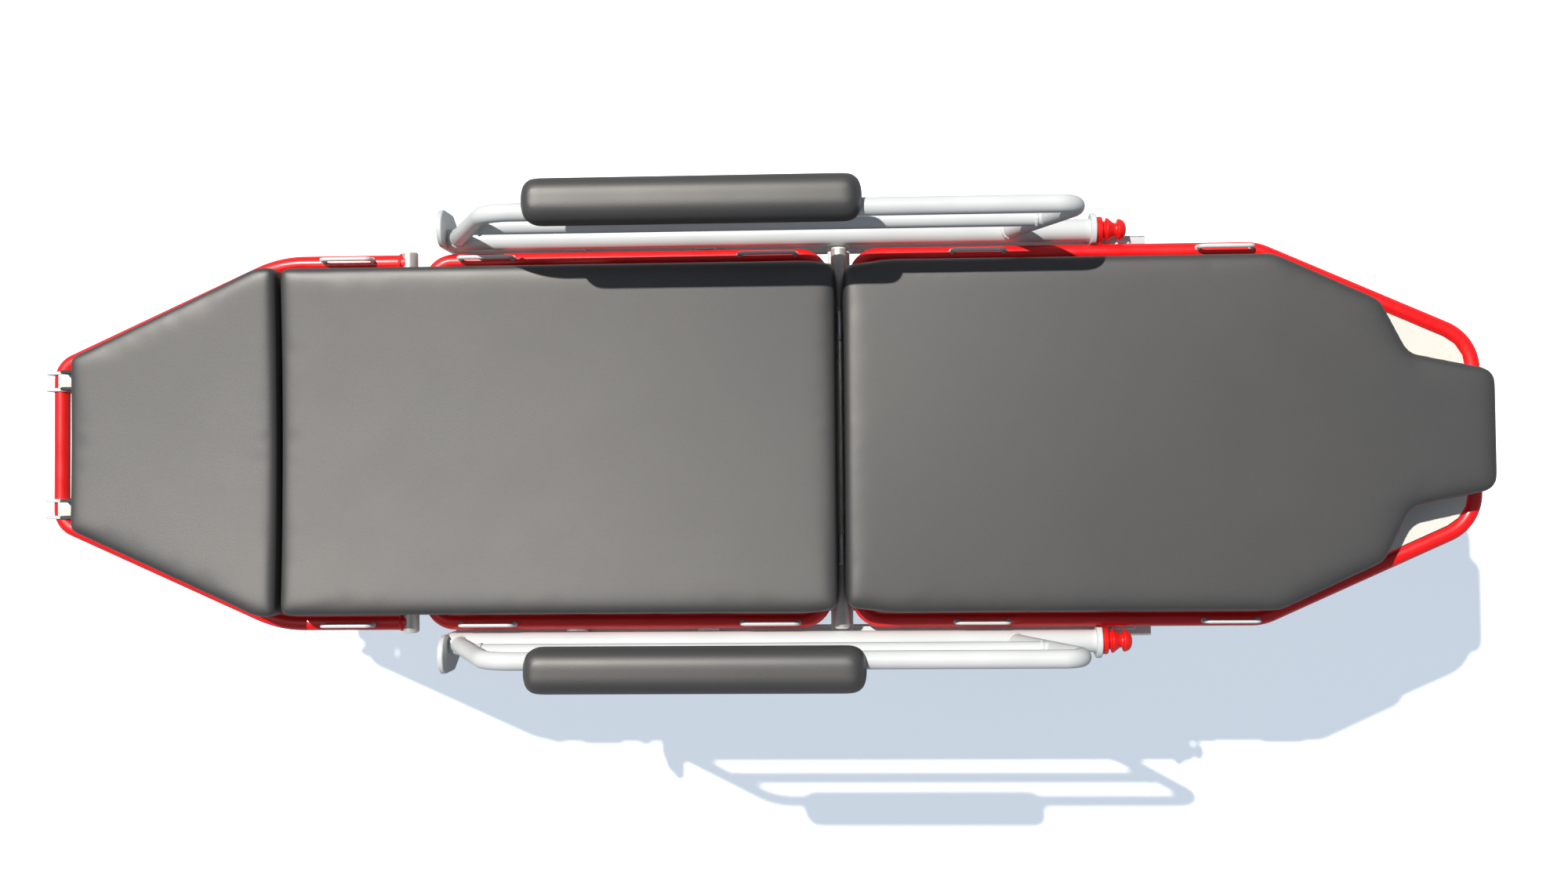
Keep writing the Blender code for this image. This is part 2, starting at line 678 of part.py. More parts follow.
def head_pad():
    return cushion("head_pad", mirrored_outline(
        [(HEAD_PAD_X[0], 0.1155, 0.012), (-0.650, PAD_HALF, 0.060), (HEAD_PAD_X[1], PAD_HALF, 0.006)]))


def back_pad():
    return cushion("back_pad", mirrored_outline([(x, PAD_HALF, 0.012) for x in BACK_PAD_X]))


def leg_pad():
    """Full width along the legs, then a taper to a narrow tongue over the foot end."""
    return cushion("leg_pad", mirrored_outline(
        [(SOFT_EDGE_X[1] + GAP, PAD_HALF, 0.012), (0.6845, PAD_HALF, 0.040), (0.818, 0.170, 0.025),
         (0.853, 0.101, 0.022), (FOOT_PAD_X, 0.077, 0.020)]))


def leg_pad_edge():
    return cushion("leg_pad_edge", mirrored_outline([(x, PAD_HALF, 0.012) for x in SOFT_EDGE_X]))


# ---------------------------------------------------------------- back prop and loading wheels


def back_prop():
    """A U that turns on the back frame's shaft; its foot rod rests on the racks."""
    shaft_x = HINGE_X - PROP_REACH
    foot_x = shaft_x - PROP_REACH
    prop = cross_rod("back_prop", foot_x, FRAME_Z, (-0.214, 0.214), PROP_R)
    join(prop, cross_rod("brace", foot_x + 0.050, FRAME_Z, (-PROP_ARM_Y, PROP_ARM_Y), 0.005))
    for side in SIDES.values():
        y = side * PROP_ARM_Y
        arm = rod("arm", (shaft_x, y, FRAME_Z), (foot_x, y, FRAME_Z), 0.0055)
        sleeve = cross_rod("sleeve", shaft_x, FRAME_Z, (y - 0.008, y + 0.008), 0.0065)
        join(prop, arm, sleeve)
    cut(prop, cross_rod("prop_bore", shaft_x, FRAME_Z, (-0.220, 0.220), PROP_SHAFT_R + GAP))
    return finish(prop, "zinc")


def loading_fork(name, y):
    """Two cheeks that clasp the end tube, joined by a web above it and by the wheel's axle below. Each
    cheek rises to a stop in front of the head cushion."""
    top = FRAME_Z + FRAME_R + 0.003
    outline = [(LOADER_TIP_X, 0.612, 0.006), (LOADER_TIP_X, top, 0.010), (LOADER_STOP_X[0], top, 0),
               (LOADER_STOP_X[0], LOADER_STOP_TOP, 0.004), (LOADER_STOP_X[1], LOADER_STOP_TOP, 0.004),
               (LOADER_STOP_X[1], top - 0.002, 0), (-0.902, 0.612, 0.010), (-0.902, 0.562, 0.012), (-0.934, 0.562, 0.012), (-0.962, 0.604, 0.010)]
    half = LOADER_PLATE / 2
    fork = box(name, LOADER_WEB_X, (y - LOADER_PLATE_Y, y + LOADER_PLATE_Y), LOADER_WEB_Z)
    for side in SIDES.values():
        middle = y + side * LOADER_PLATE_Y
        join(fork, plate("cheek", outline, middle - half, middle + half, plane="XZ"))
    x, z = LOADER_AXLE
    join(fork, cross_rod("axle", x, z, (y - LOADER_PLATE_Y, y + LOADER_PLATE_Y), LOADER_AXLE_R))
    cut(fork, head_tube("tube_seat", FRAME_R + GAP))
    return finish(fork, "zinc")


def loading_wheel(name):
    half, radius = LOADER_WHEEL_HALF, LOADER_WHEEL_R
    side = [(radius, 0.004), (0.037, half), (0.028, 0.004), (0.010, half), (LOADER_AXLE_R + GAP, half)]
    profile = list(reversed(side)) + [(r, -y) for r, y in side] + [side[-1]]
    return finish(turned(name, profile, "Y", steps=18), "tyre_rubber", smooth=30)


# ---------------------------------------------------------------- side rails


def side_rail(name, side):
    """The pivot tube with the top tube's loop and the middle rail welded to it."""
    y = side * RAIL_Y
    rail = rod(name, (BEAM_X[0], y, FRAME_Z), (FLANGE_X[0] - GAP, y, FRAME_Z), RAIL_PIVOT_R)
    slope = (RAIL_CORNER_X[0] - RAIL_FOOT_X[0]) / (RAIL_TOP_Z - FRAME_Z)
    start_z = FRAME_Z + 0.008
    start_x = RAIL_FOOT_X[0] + slope * (start_z - FRAME_Z)
    corners = [(start_x, y, start_z, 0), (RAIL_CORNER_X[0], y, RAIL_TOP_Z, 0.050),
               (RAIL_CORNER_X[1], y, RAIL_TOP_Z, 0.025), (RAIL_FOOT_X[1], y, FRAME_Z, 0)]
    loop = tube("loop", rounded(corners), RAIL_R)
    share = (RAIL_MID_Z - FRAME_Z) / (RAIL_TOP_Z - FRAME_Z)
    mid_x = [foot + (corner - foot) * share for foot, corner in zip(RAIL_FOOT_X, RAIL_CORNER_X)]
    middle = rod("middle", (mid_x[0], y, RAIL_MID_Z), (mid_x[1], y, RAIL_MID_Z), RAIL_MID_R)
    stub = rod("stub", (PLATE_X[0] + GAP, y, FRAME_Z), (BEAM_X[0] + 0.010, y, FRAME_Z), PIN_R)
    join(rail, stub, loop, middle)
    bore_x = (FLANGE_X[0] - 0.022, FLANGE_X[0] + 0.010)
    cut(rail, rod(f"{name}_bore", (bore_x[0], y, FRAME_Z), (bore_x[1], y, FRAME_Z), PIN_R + GAP))
    return finish(rail, "white_paint")


def armrest(name, side):
    """A soft round sleeve over the top tube, thicker on the outer and upper side."""
    centre = (ARMREST_X[0] + ARMREST_X[1]) / 2
    half = (ARMREST_X[1] - ARMREST_X[0]) / 2
    cap = 0.020
    rounding = [(ARMREST_R - cap + cap * math.sin(angle), half - cap + cap * math.cos(angle))
                for angle in (math.pi / 6 * number for number in range(4))]
    profile = [(0, half)] + rounding + [(r, -h) for r, h in reversed(rounding)] + [(0, -half)]
    grip = turned(name, profile, "X", steps=16)
    grip.data.transform(Matrix.Translation((centre, side * ARMREST_Y, ARMREST_Z)))
    hole = rod(f"{name}_hole", (-0.300, side * RAIL_Y, RAIL_TOP_Z), (0.200, side * RAIL_Y, RAIL_TOP_Z),
               RAIL_R + GAP)
    cut(grip, hole)
    return finish(grip, "cushion_vinyl")


def rail_end_plate(name, side):
    """Carries the pivot tube's stub at the head end of the beam."""
    corners = [(0.262, 0.575, 0.004), (0.296, 0.575, 0.010), (0.313, 0.605, 0.012), (0.313, 0.671, 0.024),
               (0.262, 0.671, 0.024)]
    outline = [(side * y, z, r) for y, z, r in corners]
    end_plate = plate(name, outline, *PLATE_X, plane="YZ")
    y = side * RAIL_Y
    cut(end_plate, rod(f"{name}_bore", (-0.425, y, FRAME_Z), (-0.405, y, FRAME_Z), PIN_R + GAP))
    return finish(end_plate, "white_paint")


def rail_flange(name, side):
    """A disc on the beam that the locking knob sits against, flat towards the mattress frame."""
    y = side * RAIL_Y
    flange = rod(name, (FLANGE_X[0], y, FRAME_Z), (FLANGE_X[1], y, FRAME_Z), FLANGE_R, 24)
    foot_y = sorted((side * 0.262, side * 0.286))
    join(flange, box("foot", FLANGE_X, foot_y, (MEMBER_Z[0], 0.612)))
    flat_y = sorted((side * 0.240, side * (FRAME_HALF + FRAME_R + 0.0004)))
    cut(flange, box(f"{name}_flat", (0.450, 0.475), flat_y, (0.600, 0.655)))
    cut(flange, rod(f"{name}_bore", (0.450, y, FRAME_Z), (0.475, y, FRAME_Z), PIN_R + GAP))
    return finish(flange, "white_paint")


def rail_knob(name, side):
    """A barbed pull knob on a stem that reaches through the flange into the pivot tube."""
    outline = [(0.0178, 0.000), (0.0178, 0.008), (0.0117, 0.0095), (0.0117, 0.0125), (0.0162, 0.0143),
               (0.0092, 0.0244), (0.0092, 0.0276), (0.0146, 0.0297), (0.0125, 0.0365), (0.0070, 0.0397)]
    face = FLANGE_X[1] + GAP
    profile = [(0, face - 0.0215), (PIN_R, face - 0.0215), (PIN_R, face)]
    profile += [(radius, face + reach) for radius, reach in outline] + [(0, face + 0.0405)]
    knob = turned(name, list(reversed(profile)), "X", steps=16)
    knob.data.transform(Matrix.Translation((0, side * RAIL_Y, FRAME_Z)))
    return finish(knob, "red_plastic", smooth=30)


def strap_loop(name, x, length, side):
    """A wire staple that stands on a side tube."""
    y = side * LOOP_Y
    half = length / 2 - LOOP_R
    low = FRAME_Z + FRAME_R + GAP
    corners = [(x - half, y, low, 0), (x - half, y, LOOP_TOP_Z, 0.007), (x + half, y, LOOP_TOP_Z, 0.007),
               (x + half, y, low, 0)]
    return finish(tube(name, rounded(corners, step=math.radians(45)), LOOP_R, sides=6), "white_paint")


# ---------------------------------------------------------------- assembly


def pivot(name, location, parent=None):
    """An empty on a joint's axis."""
    empty = bpy.data.objects.new(name, None)
    bpy.context.scene.collection.objects.link(empty)
    if parent:
        attach(empty, parent)
    empty.matrix_world = Matrix.Translation(location)
    bpy.context.view_layer.update()
    return empty


def attach(obj, parent):
    """Parents obj, and leaves it where it is."""
    bpy.context.view_layer.update()
    placed = obj.matrix_world.copy()
    obj.parent = parent
    obj.matrix_parent_inverse = parent.matrix_world.inverted()
    obj.matrix_world = placed


def attach_all(parent, *objects):
    for obj in objects:
        attach(obj, parent)


def build_base():
    base = pivot("base", (0, 0, 0))
    for end_name, end in ENDS.items():
        attach(base_tube(f"base_{end_name}_tube", end * BASE_X), base)
    for side_name, side in SIDES.items():
        attach(base_rail(f"{side_name}_base_rail", side), base)
    groups, wheels, pedals = casters()
    for tag, (x, y, _), fork in groups:
        swivel = pivot(f"swivel_{tag}", (x, y, BASE_Z[0]), base)
        attach_all(swivel, fork, wheels[f"caster_wheel_{tag}"])
        if f"brake_pedal_{tag}" in pedals:
            hinge = pivot(f"pedal_axis_{tag}", (x + PEDAL_PIVOT[0], y, PEDAL_PIVOT[1]), swivel)
            attach(pedals[f"brake_pedal_{tag}"], hinge)
    return base


def build_legs(base):
    outer = pivot("outer_leg_axis", (LEG_PIVOT_X, 0, BASE_AXIS_Z), base)
    attach_all(outer, outer_leg_frame(), leg_pivot_shaft())
    inner = pivot("leg_centre_axis", (CENTRE_X, 0, CENTRE_Z), outer)
    attach(inner_leg_frame(), inner)
    return pivot("chassis_axis", (LEG_PIVOT_X, 0, CHASSIS_AXIS_Z), inner)


def build_chassis(chassis):
    for side_name, side in SIDES.items():
        attach(chassis_rail(f"{side_name}_chassis_rail", side), chassis)
    foot_member = finish(cross_member("foot_cross_member", FOOT_MEMBER_X), "white_paint")
    attach_all(chassis, rack_frame(), hinge_cross_member(), foot_member)
    attach(cross_tube("hinge_cross_tube", HINGE_X, 0.2575, HINGE_R), chassis)
    attach_all(chassis, leg_frame(), leg_panel(), leg_pad(), leg_pad_edge())
    handle = pivot("handle_axis", (HANDLE_PIVOT[0], 0, HANDLE_PIVOT[1]), chassis)
    attach(release_handle(), handle)


def build_back(chassis):
    back = pivot("back_hinge_axis", (HINGE_X, 0, FRAME_Z), chassis)
    attach_all(back, head_frame(), back_frame(), cross_tube("head_cross_tube", HEAD_TUBE_X, 0.260, FRAME_R))
    attach_all(back, head_panel(), back_panel(), head_pad(), back_pad())
    prop_axis = pivot("prop_axis", (HINGE_X - PROP_REACH, 0, FRAME_Z), back)
    attach(back_prop(), prop_axis)
    x, z = LOADER_AXLE
    wheels = copies(loading_wheel("wheel"), {f"{name}_loading_wheel": (x, side * LOADER_Y, z)
                                             for name, side in SIDES.items()})
    attach_all(back, *wheels.values())
    for side_name, side in SIDES.items():
        attach(loading_fork(f"{side_name}_loading_fork", side * LOADER_Y), back)
    return back


def build_rails(chassis):
    for side_name, side in SIDES.items():
        attach_all(chassis, rail_end_plate(f"{side_name}_rail_end_plate", side),
                   rail_flange(f"{side_name}_rail_flange", side))
        axis = pivot(f"{side_name}_rail_axis", (0, side * RAIL_Y, FRAME_Z), chassis)
        attach_all(axis, side_rail(f"{side_name}_side_rail", side), armrest(f"{side_name}_armrest", side))
        attach(rail_knob(f"{side_name}_rail_knob", side), axis)


def build_strap_loops(chassis, back):
    for place, (x, length) in LOOPS.items():
        for side_name, side in SIDES.items():
            loop = strap_loop(f"{side_name}_strap_loop_{place}", x, length, side)
            attach(loop, chassis if place.startswith("leg") else back)


def main():
    base = build_base()
    chassis = build_legs(base)
    build_chassis(chassis)
    back = build_back(chassis)
    build_rails(chassis)
    build_strap_loops(chassis, back)


main()
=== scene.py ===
"""Looks for the folding ambulance stretcher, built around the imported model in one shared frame. Metres,
+Z up, +X towards the foot end."""

import json
import math

import bmesh
import bpy
from mathutils import Matrix, Vector


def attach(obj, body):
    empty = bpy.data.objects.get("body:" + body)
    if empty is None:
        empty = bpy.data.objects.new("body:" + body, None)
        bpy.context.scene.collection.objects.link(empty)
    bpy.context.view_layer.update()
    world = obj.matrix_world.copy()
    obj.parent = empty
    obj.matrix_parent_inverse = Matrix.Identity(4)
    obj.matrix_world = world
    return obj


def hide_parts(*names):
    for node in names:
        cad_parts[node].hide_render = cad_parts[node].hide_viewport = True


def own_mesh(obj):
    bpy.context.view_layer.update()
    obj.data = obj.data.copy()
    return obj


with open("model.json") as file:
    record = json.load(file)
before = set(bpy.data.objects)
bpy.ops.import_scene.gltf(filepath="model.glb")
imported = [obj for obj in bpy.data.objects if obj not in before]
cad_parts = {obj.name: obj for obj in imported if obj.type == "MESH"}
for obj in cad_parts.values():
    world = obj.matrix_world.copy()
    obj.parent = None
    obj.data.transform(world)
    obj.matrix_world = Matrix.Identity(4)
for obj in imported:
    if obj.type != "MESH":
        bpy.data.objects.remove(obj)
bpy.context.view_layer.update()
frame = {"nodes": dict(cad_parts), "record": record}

SCENE = bpy.context.scene
NODES = frame["nodes"]

SIDES = {"left": 1, "right": -1}
ENDS = {"head": -1, "foot": 1}
GAP = 0.0003  # between neighbours that touch
WELD_SINK = 0.0006  # how far a weld bead's centre lies inside the tube's surface
SHARP_ANGLE = math.radians(35)

# Mattress frame
FRAME_Z = 0.626
FRAME_R = 0.011
FRAME_HALF = 0.245  # centreline of the side tubes
CORNER_R = 0.031
HEAD_CORNER_R = (0.150, 0.028)
FOOT_CORNER_R = (0.060, 0.058)
HEAD_END_X = -0.9495
HEAD_END_HALF = 0.107
HEAD_BEND_X = -0.6437
HEAD_TUBE_X = -0.465
BACK_X = (-0.435, 0.0983)
HINGE_X = 0.1215
HINGE_R = 0.0105
KNUCKLE_R = 0.0122
KNUCKLE_Y = (0.130, 0.170)
LINK_Y = (0.170, 0.200)
LINK_Z = (0.6115, 0.6147)
LEG_START_X = 0.145
LEG_BEND_X = 0.679
FOOT_END_X = 0.959
FOOT_END_HALF = 0.120
PROP_REACH = 0.250  # hinge to prop shaft
PROP_SHAFT_R = 0.004
CROSS_TUBE_HALF = {"head": 0.260, "hinge": 0.2575}

# Cushions
PAD_Z = (0.6375, 0.704)
PAD_HALF = 0.232
HEAD_PAD_X = (-0.9090, -0.6245)
BACK_PAD_X = (-0.6215, 0.118)
LEG_PAD_X = (0.1265, 0.9625)
PAD_EDGE_R = 0.009
PAD_HOLLOW = 0.009  # how much lower a cushion's top is along its middle

# Side rails
RAIL_Y = 0.2753
RAIL_R = 0.0114
RAIL_PIVOT_R = 0.015
RAIL_TOP_Z = 0.832
RAIL_MID_Z = 0.734
RAIL_MID_R = 0.011
RAIL_FOOT_X = (-0.402, 0.3455)
RAIL_CORNER_X = (-0.3135, 0.425)
RAIL_CORNER_R = (0.050, 0.025)
PLATE_X = (-0.4177, -0.4103)
FLANGE_X = (0.459, 0.4664)
ARMREST_X = (-0.2643, 0.1515)
ARMREST_Y = 0.2857
ARMREST_Z = 0.840
ARMREST_R = 0.0285
ARMREST_CAP_R = 0.018
SQUARENESS = 2.8  # of an armrest's section: 2 is round, and more is squarer
FLANGE_R = 0.0226
FLANGE_RIM_R = 0.0216
PIN_R = 0.006

# Strap loops: centre along X, and length
LOOPS = {
    "head": (-0.5475, 0.073),
    "back_upper": (-0.3565, 0.078),
    "back_lower": (0.0255, 0.081),
    "leg_upper": (0.3085, 0.075),
    "leg_lower": (0.6355, 0.076),
}
LOOP_R = 0.0028
LOOP_Y = 0.248
LOOP_TOP_Z = 0.652

# Loading wheels at the head end
LOADER_Y = 0.0875
LOADER_TIP_X = -0.970
LOADER_PLATE_Y = 0.0114
LOADER_PLATE = 0.0045
LOADER_AXLE = (-0.918, 0.576)
LOADER_AXLE_R = 0.004
LOADER_WEB_X = (-0.9500, -0.9145)
LOADER_WEB_Z = (0.6373, 0.6391)
LOADER_STOP_X = (-0.9375, -0.9115)
LOADER_STOP_TOP = 0.660

# Release handle under the foot end
HANDLE_PIVOT = (0.952, 0.603)
HANDLE_R = 0.004
HANDLE_HALF = 0.068
EAR_Y = (0.052, 0.058)

# Chassis beams, scissor legs, base frame and casters
BEAM_X = (-0.410, 0.538)
BEAM_Y = (0.257, 0.271)
BEAM_Z = (0.565, 0.600)
WALL = 0.0025
FOOT_MEMBER_X = 0.500
RACK_MEMBER_X = (-0.240, -0.060)
LEG_LENGTH = 0.800
LEG_R = 0.011
LEG_PIVOT_X = 0.400
BASE_AXIS_Z = 0.168
CHASSIS_AXIS_Z = 0.585
OUTER_LEG_Y = 0.236
INNER_LEG_Y = 0.208
BOSS_R = 0.015
BOSS_HALF = 0.0118
BRACE_R = 0.009
AXLE_R = 0.008
ROLLER_R = 0.0122
BLOCK_HALF = 0.015  # of the bearing blocks in the channels
NUT_R = 0.0096
LEG_RISE = CHASSIS_AXIS_Z - BASE_AXIS_Z
LEG_RUN = math.sqrt(LEG_LENGTH**2 - LEG_RISE**2)
SLIDER_X = LEG_PIVOT_X - LEG_RUN
CENTRE_X = LEG_PIVOT_X - LEG_RUN / 2
CENTRE_Z = BASE_AXIS_Z + LEG_RISE / 2
BRACE_REACH = 0.300  # from the centre pivot, along a leg, to its brace
BASE_X = 0.480
BASE_Y = (0.250, 0.271)
BASE_Z = (0.153, 0.183)
BASE_TUBE_HALF = 0.015
CASTER_Y = 0.235
CASTER_TRAIL = 0.035
CASTER_CHEEK_Y = (0.0167, 0.0205)
CASTER_CROWN_Z = (0.1318, 0.1372)
WHEEL_R = 0.0625
PEDAL_PIVOT = (-0.051, 0.143)  # x from the swivel axis, z


# ---------------------------------------------------------------- materials


class Look:
    """A Principled material whose nodes are added one call at a time."""

    def __init__(self, name, colour, roughness, metallic=0.0, **sockets):
        self.material = bpy.data.materials.new(name)
        self.material.use_nodes = True
        self.tree = self.material.node_tree
        self.shader = self.tree.nodes["Principled BSDF"]
        self.colour = colour
        self.shader.inputs["Base Color"].default_value = (*colour, 1)
        self.shader.inputs["Roughness"].default_value = roughness
        self.shader.inputs["Metallic"].default_value = metallic
        for socket, value in sockets.items():
            self.shader.inputs[socket.replace("_", " ")].default_value = value
        self.place = self.node("ShaderNodeTexCoord").outputs["Object"]
        self.base = None
        self.height = None

    def node(self, kind, **settings):
        made = self.tree.nodes.new(kind)
        for key, value in settings.items():
            setattr(made, key, value)
        return made

    def link(self, source, target):
        self.tree.links.new(source, target)

    def scaled(self, stretch):
        """Object coordinates multiplied per axis."""
        mapping = self.node("ShaderNodeMapping")
        mapping.inputs["Scale"].default_value = stretch
        self.link(self.place, mapping.inputs["Vector"])
        return mapping.outputs["Vector"]

    def noise(self, scale, detail, roughness=0.5, stretch=(1, 1, 1)):
        made = self.node("ShaderNodeTexNoise")
        made.inputs["Scale"].default_value = scale
        made.inputs["Detail"].default_value = detail
        made.inputs["Roughness"].default_value = roughness
        self.link(self.scaled(stretch), made.inputs["Vector"])
        return made.outputs["Fac"]

    def cells(self, scale):
        """Distance to the nearest wall between irregular cells."""
        made = self.node("ShaderNodeTexVoronoi", feature="DISTANCE_TO_EDGE")
        made.inputs["Scale"].default_value = scale
        self.link(self.place, made.inputs["Vector"])
        return made.outputs["Distance"]

    def ramp(self, source, low, high, start=0.0, end=1.0):
        """Maps source from low..high to start..end, and clamps it."""
        made = self.node("ShaderNodeMapRange")
        for key, value in {"From Min": low, "From Max": high, "To Min": start, "To Max": end}.items():
            made.inputs[key].default_value = value
        self.link(source, made.inputs["Value"])
        return made.outputs["Result"]

    def tint(self, colour, share):
        """Paints colour over the base colour where share is high."""
        mix = self.node("ShaderNodeMix", data_type="RGBA")
        if self.base is None:
            mix.inputs["A"].default_value = (*self.colour, 1)
        else:
            self.link(self.base, mix.inputs["A"])
        mix.inputs["B"].default_value = (*colour, 1)
        self.link(share, mix.inputs["Factor"])
        self.base = mix.outputs["Result"]
        self.link(self.base, self.shader.inputs["Base Color"])

    def rough(self, value):
        self.link(value, self.shader.inputs["Roughness"])

    def bump(self, height, distance, strength):
        """Adds a bump, in metres, on top of the earlier ones."""
        made = self.node("ShaderNodeBump")
        made.inputs["Distance"].default_value = distance
        made.inputs["Strength"].default_value = strength
        self.link(height, made.inputs["Height"])
        if self.height is not None:
            self.link(self.height, made.inputs["Normal"])
        self.height = made.outputs["Normal"]
        self.link(self.height, self.shader.inputs["Normal"])


def vinyl():
    """Leathercloth: a fine cell grain with painted shade darkening its creases, and slow changes of tone and gloss."""
    look = Look("cushion_vinyl", (0.040, 0.040, 0.041), 0.45, Specular_IOR_Level=1.0,
                Specular_Tint=(1.0, 0.965, 0.915, 1))
    look.tint((0.050, 0.049, 0.047), look.ramp(look.noise(3.0, 3.0), 0.35, 0.70))
    look.tint((0.028, 0.028, 0.030), look.ramp(look.noise(900.0, 1.0), 0.55, 0.75, 0.0, 0.5))
    grain = look.cells(520.0)
    # painted shade: the base colour is darkened along the grain's cell walls, where shade falls in its creases
    look.tint((0.022, 0.022, 0.024), look.ramp(grain, 0.10, 0.0, 0.0, 0.5))
    look.rough(look.ramp(look.noise(14.0, 2.0), 0.30, 0.70, 0.480, 0.505))
    look.bump(look.ramp(grain, 0.0, 0.16), 0.00008, 0.4)
    return look.material


def paint(name, colour, dark, roughness, coat):
    """Stove enamel over steel: a faint orange peel, slow tone changes, dust and small scuffs."""
    look = Look(name, colour, roughness, Coat_Weight=coat, Coat_Roughness=0.12)
    look.tint(dark, look.ramp(look.noise(11.0, 4.0), 0.45, 0.80, 0.0, 0.35))
    scuff = look.ramp(look.noise(60.0, 6.0, 0.7, (0.35, 1, 1)), 0.69, 0.74, 0.0, 0.55)
    look.tint(tuple(0.55 * c + 0.10 for c in dark), scuff)
    look.rough(look.ramp(look.noise(35.0, 4.0), 0.30, 0.75, roughness - 0.06, roughness + 0.14))
    look.bump(look.noise(420.0, 2.0), 0.00006, 0.35)
    return look.material


def brushed(name, colour, roughness, metallic, stretch):
    """Bare or plated metal with fine drawn lines, dull patches and darker handling marks."""
    look = Look(name, colour, roughness, metallic)
    look.tint(tuple(0.72 * c for c in colour), look.ramp(look.noise(18.0, 5.0, 0.6), 0.48, 0.78, 0.0, 0.6))
    look.tint(tuple(0.55 * c for c in colour), look.ramp(look.noise(700.0, 2.0), 0.62, 0.75, 0.0, 0.4))
    look.rough(look.ramp(look.noise(90.0, 4.0, 0.6, stretch), 0.30, 0.70, roughness - 0.10, roughness + 0.12))
    look.bump(look.noise(1400.0, 1.0, 0.5, stretch), 0.00003, 0.4)
    return look.material


def mottled(name, colour, roughness, tints, gloss, grain):
    """One colour with patches of others, uneven gloss and a fine bump. A tint is its colour, the noise's scale
    and detail, the two levels it fades between, and its share. gloss is a scale, a detail and the roughness at
    each end. grain is a scale, a detail, a depth and a strength."""
    look = Look(name, colour, roughness)
    for tone, scale, detail, low, high, share in tints:
        look.tint(tone, look.ramp(look.noise(scale, detail), low, high, 0.0, share))
    look.rough(look.ramp(look.noise(*gloss[:2]), 0.3, 0.7, *gloss[2:]))
    look.bump(look.noise(*grain[:2]), *grain[2:])
    return look.material


MATERIALS = {
    "cushion_vinyl": vinyl(),
    "red_paint": paint("red_paint", (0.84, 0.006, 0.007), (0.55, 0.004, 0.005), 0.36, 0.15),
    "white_paint": paint("white_paint", (0.66, 0.67, 0.66), (0.52, 0.53, 0.52), 0.36, 0.10),
    "bare_metal": brushed("bare_metal", (0.60, 0.58, 0.53), 0.42, 0.55, (1, 0.05, 1)),
    "zinc": brushed("zinc", (0.56, 0.57, 0.58), 0.36, 0.85, (1, 1, 1)),
    "deck_sheet": mottled(
        "deck_sheet", (0.74, 0.72, 0.64), 0.48,
        [((0.62, 0.59, 0.50), 7.0, 5.0, 0.45, 0.80, 0.5), ((0.55, 0.53, 0.47), 160.0, 3.0, 0.64, 0.74, 0.4)],
        (30.0, 4.0, 0.40, 0.58), (650.0, 2.0, 0.00005, 0.4)),
    "red_plastic": mottled(
        "red_plastic", (0.80, 0.012, 0.010), 0.32, [((0.60, 0.008, 0.008), 40.0, 3.0, 0.45, 0.80, 0.5)],
        (120.0, 3.0, 0.26, 0.42), (900.0, 2.0, 0.00005, 0.5)),
    "tyre_rubber": mottled(
        "tyre_rubber", (0.035, 0.035, 0.036), 0.72, [((0.095, 0.090, 0.082), 55.0, 5.0, 0.45, 0.75, 0.6)],
        (80.0, 4.0, 0.62, 0.86), (500.0, 3.0, 0.00012, 0.6)),
    "wheel_grey": mottled(
        "wheel_grey", (0.34, 0.35, 0.36), 0.42, [((0.24, 0.24, 0.24), 50.0, 4.0, 0.45, 0.80, 0.6)],
        (90.0, 3.0, 0.36, 0.54), (700.0, 2.0, 0.00005, 0.4)),
}

for part in frame["record"]["subparts"]:
    mesh = NODES[part["node"]].data
    mesh.materials.clear()
    mesh.materials.append(MATERIALS[part["material_slot"]])


# ---------------------------------------------------------------- shapes


def rounded(corners, closed=False, step=math.radians(5)):
    """Points through (x, y, z, radius) corners, with an arc of that radius at each."""
    points = []
    for index, (*place, radius) in enumerate(corners):
        corner = Vector(place)
        is_end = not closed and index in (0, len(corners) - 1)
        if is_end or radius == 0:
            points.append(corner)
            continue
        before = (Vector(corners[index - 1][:3]) - corner).normalized()
        after = (Vector(corners[(index + 1) % len(corners)][:3]) - corner).normalized()
        half = before.angle(after) / 2
        turn = math.pi - 2 * half
        centre = corner + (before + after).normalized() * radius / math.sin(half)
        first = corner + before * radius / math.tan(half) - centre
        last = corner + after * radius / math.tan(half) - centre
        axis = first.cross(last)
        count = max(2, math.ceil(turn / step))
        for number in range(count + 1):
            points.append(centre + Matrix.Rotation(turn * number / count, 3, axis) @ first)
    return points


def mirrored_outline(corners):
    """Corners given on the +Y side, from the head to the foot, and their mirror images."""
    return [(x, -y, r) for x, y, r in corners] + [(x, y, r) for x, y, r in reversed(corners)]


def mirrored_run(corners):
    """A run of (x, y, z, radius) corners on the +Y side, and back along the other side."""
    return corners + [(x, -y, z, r) for x, y, z, r in reversed(corners)]


def placed(name, data):
    obj = bpy.data.objects.new(name, data)
    SCENE.collection.objects.link(obj)
    return obj


def as_object(name, work):
    mesh = bpy.data.meshes.new(name)
    work.to_mesh(mesh)
    work.free()
    return placed(name, mesh)


def finished(obj, body, slot, replaced):
    """Gives a piece its finish and its body, and hides the CAD nodes that it stands for."""
    obj.data.materials.clear()
    obj.data.materials.append(MATERIALS[slot])
    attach(obj, body)
    if replaced:
        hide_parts(*replaced)


def mirrored_profile(half):
    """A closed section that is the same on both sides, from its (radius, height) points on the low side."""
    return half + [(radius, -height) for radius, height in reversed(half)]


def ring_profile(bore, radius, half):
    """A ring's section, with softened rims."""
    return mirrored_profile([(bore, -half), (radius - 0.001, -half), (radius, 0.001 - half)])


AXES = {"X": Matrix.Rotation(math.pi / 2, 4, "Y"), "Y": Matrix.Rotation(-math.pi / 2, 4, "X"),
        "Z": Matrix.Identity(4)}


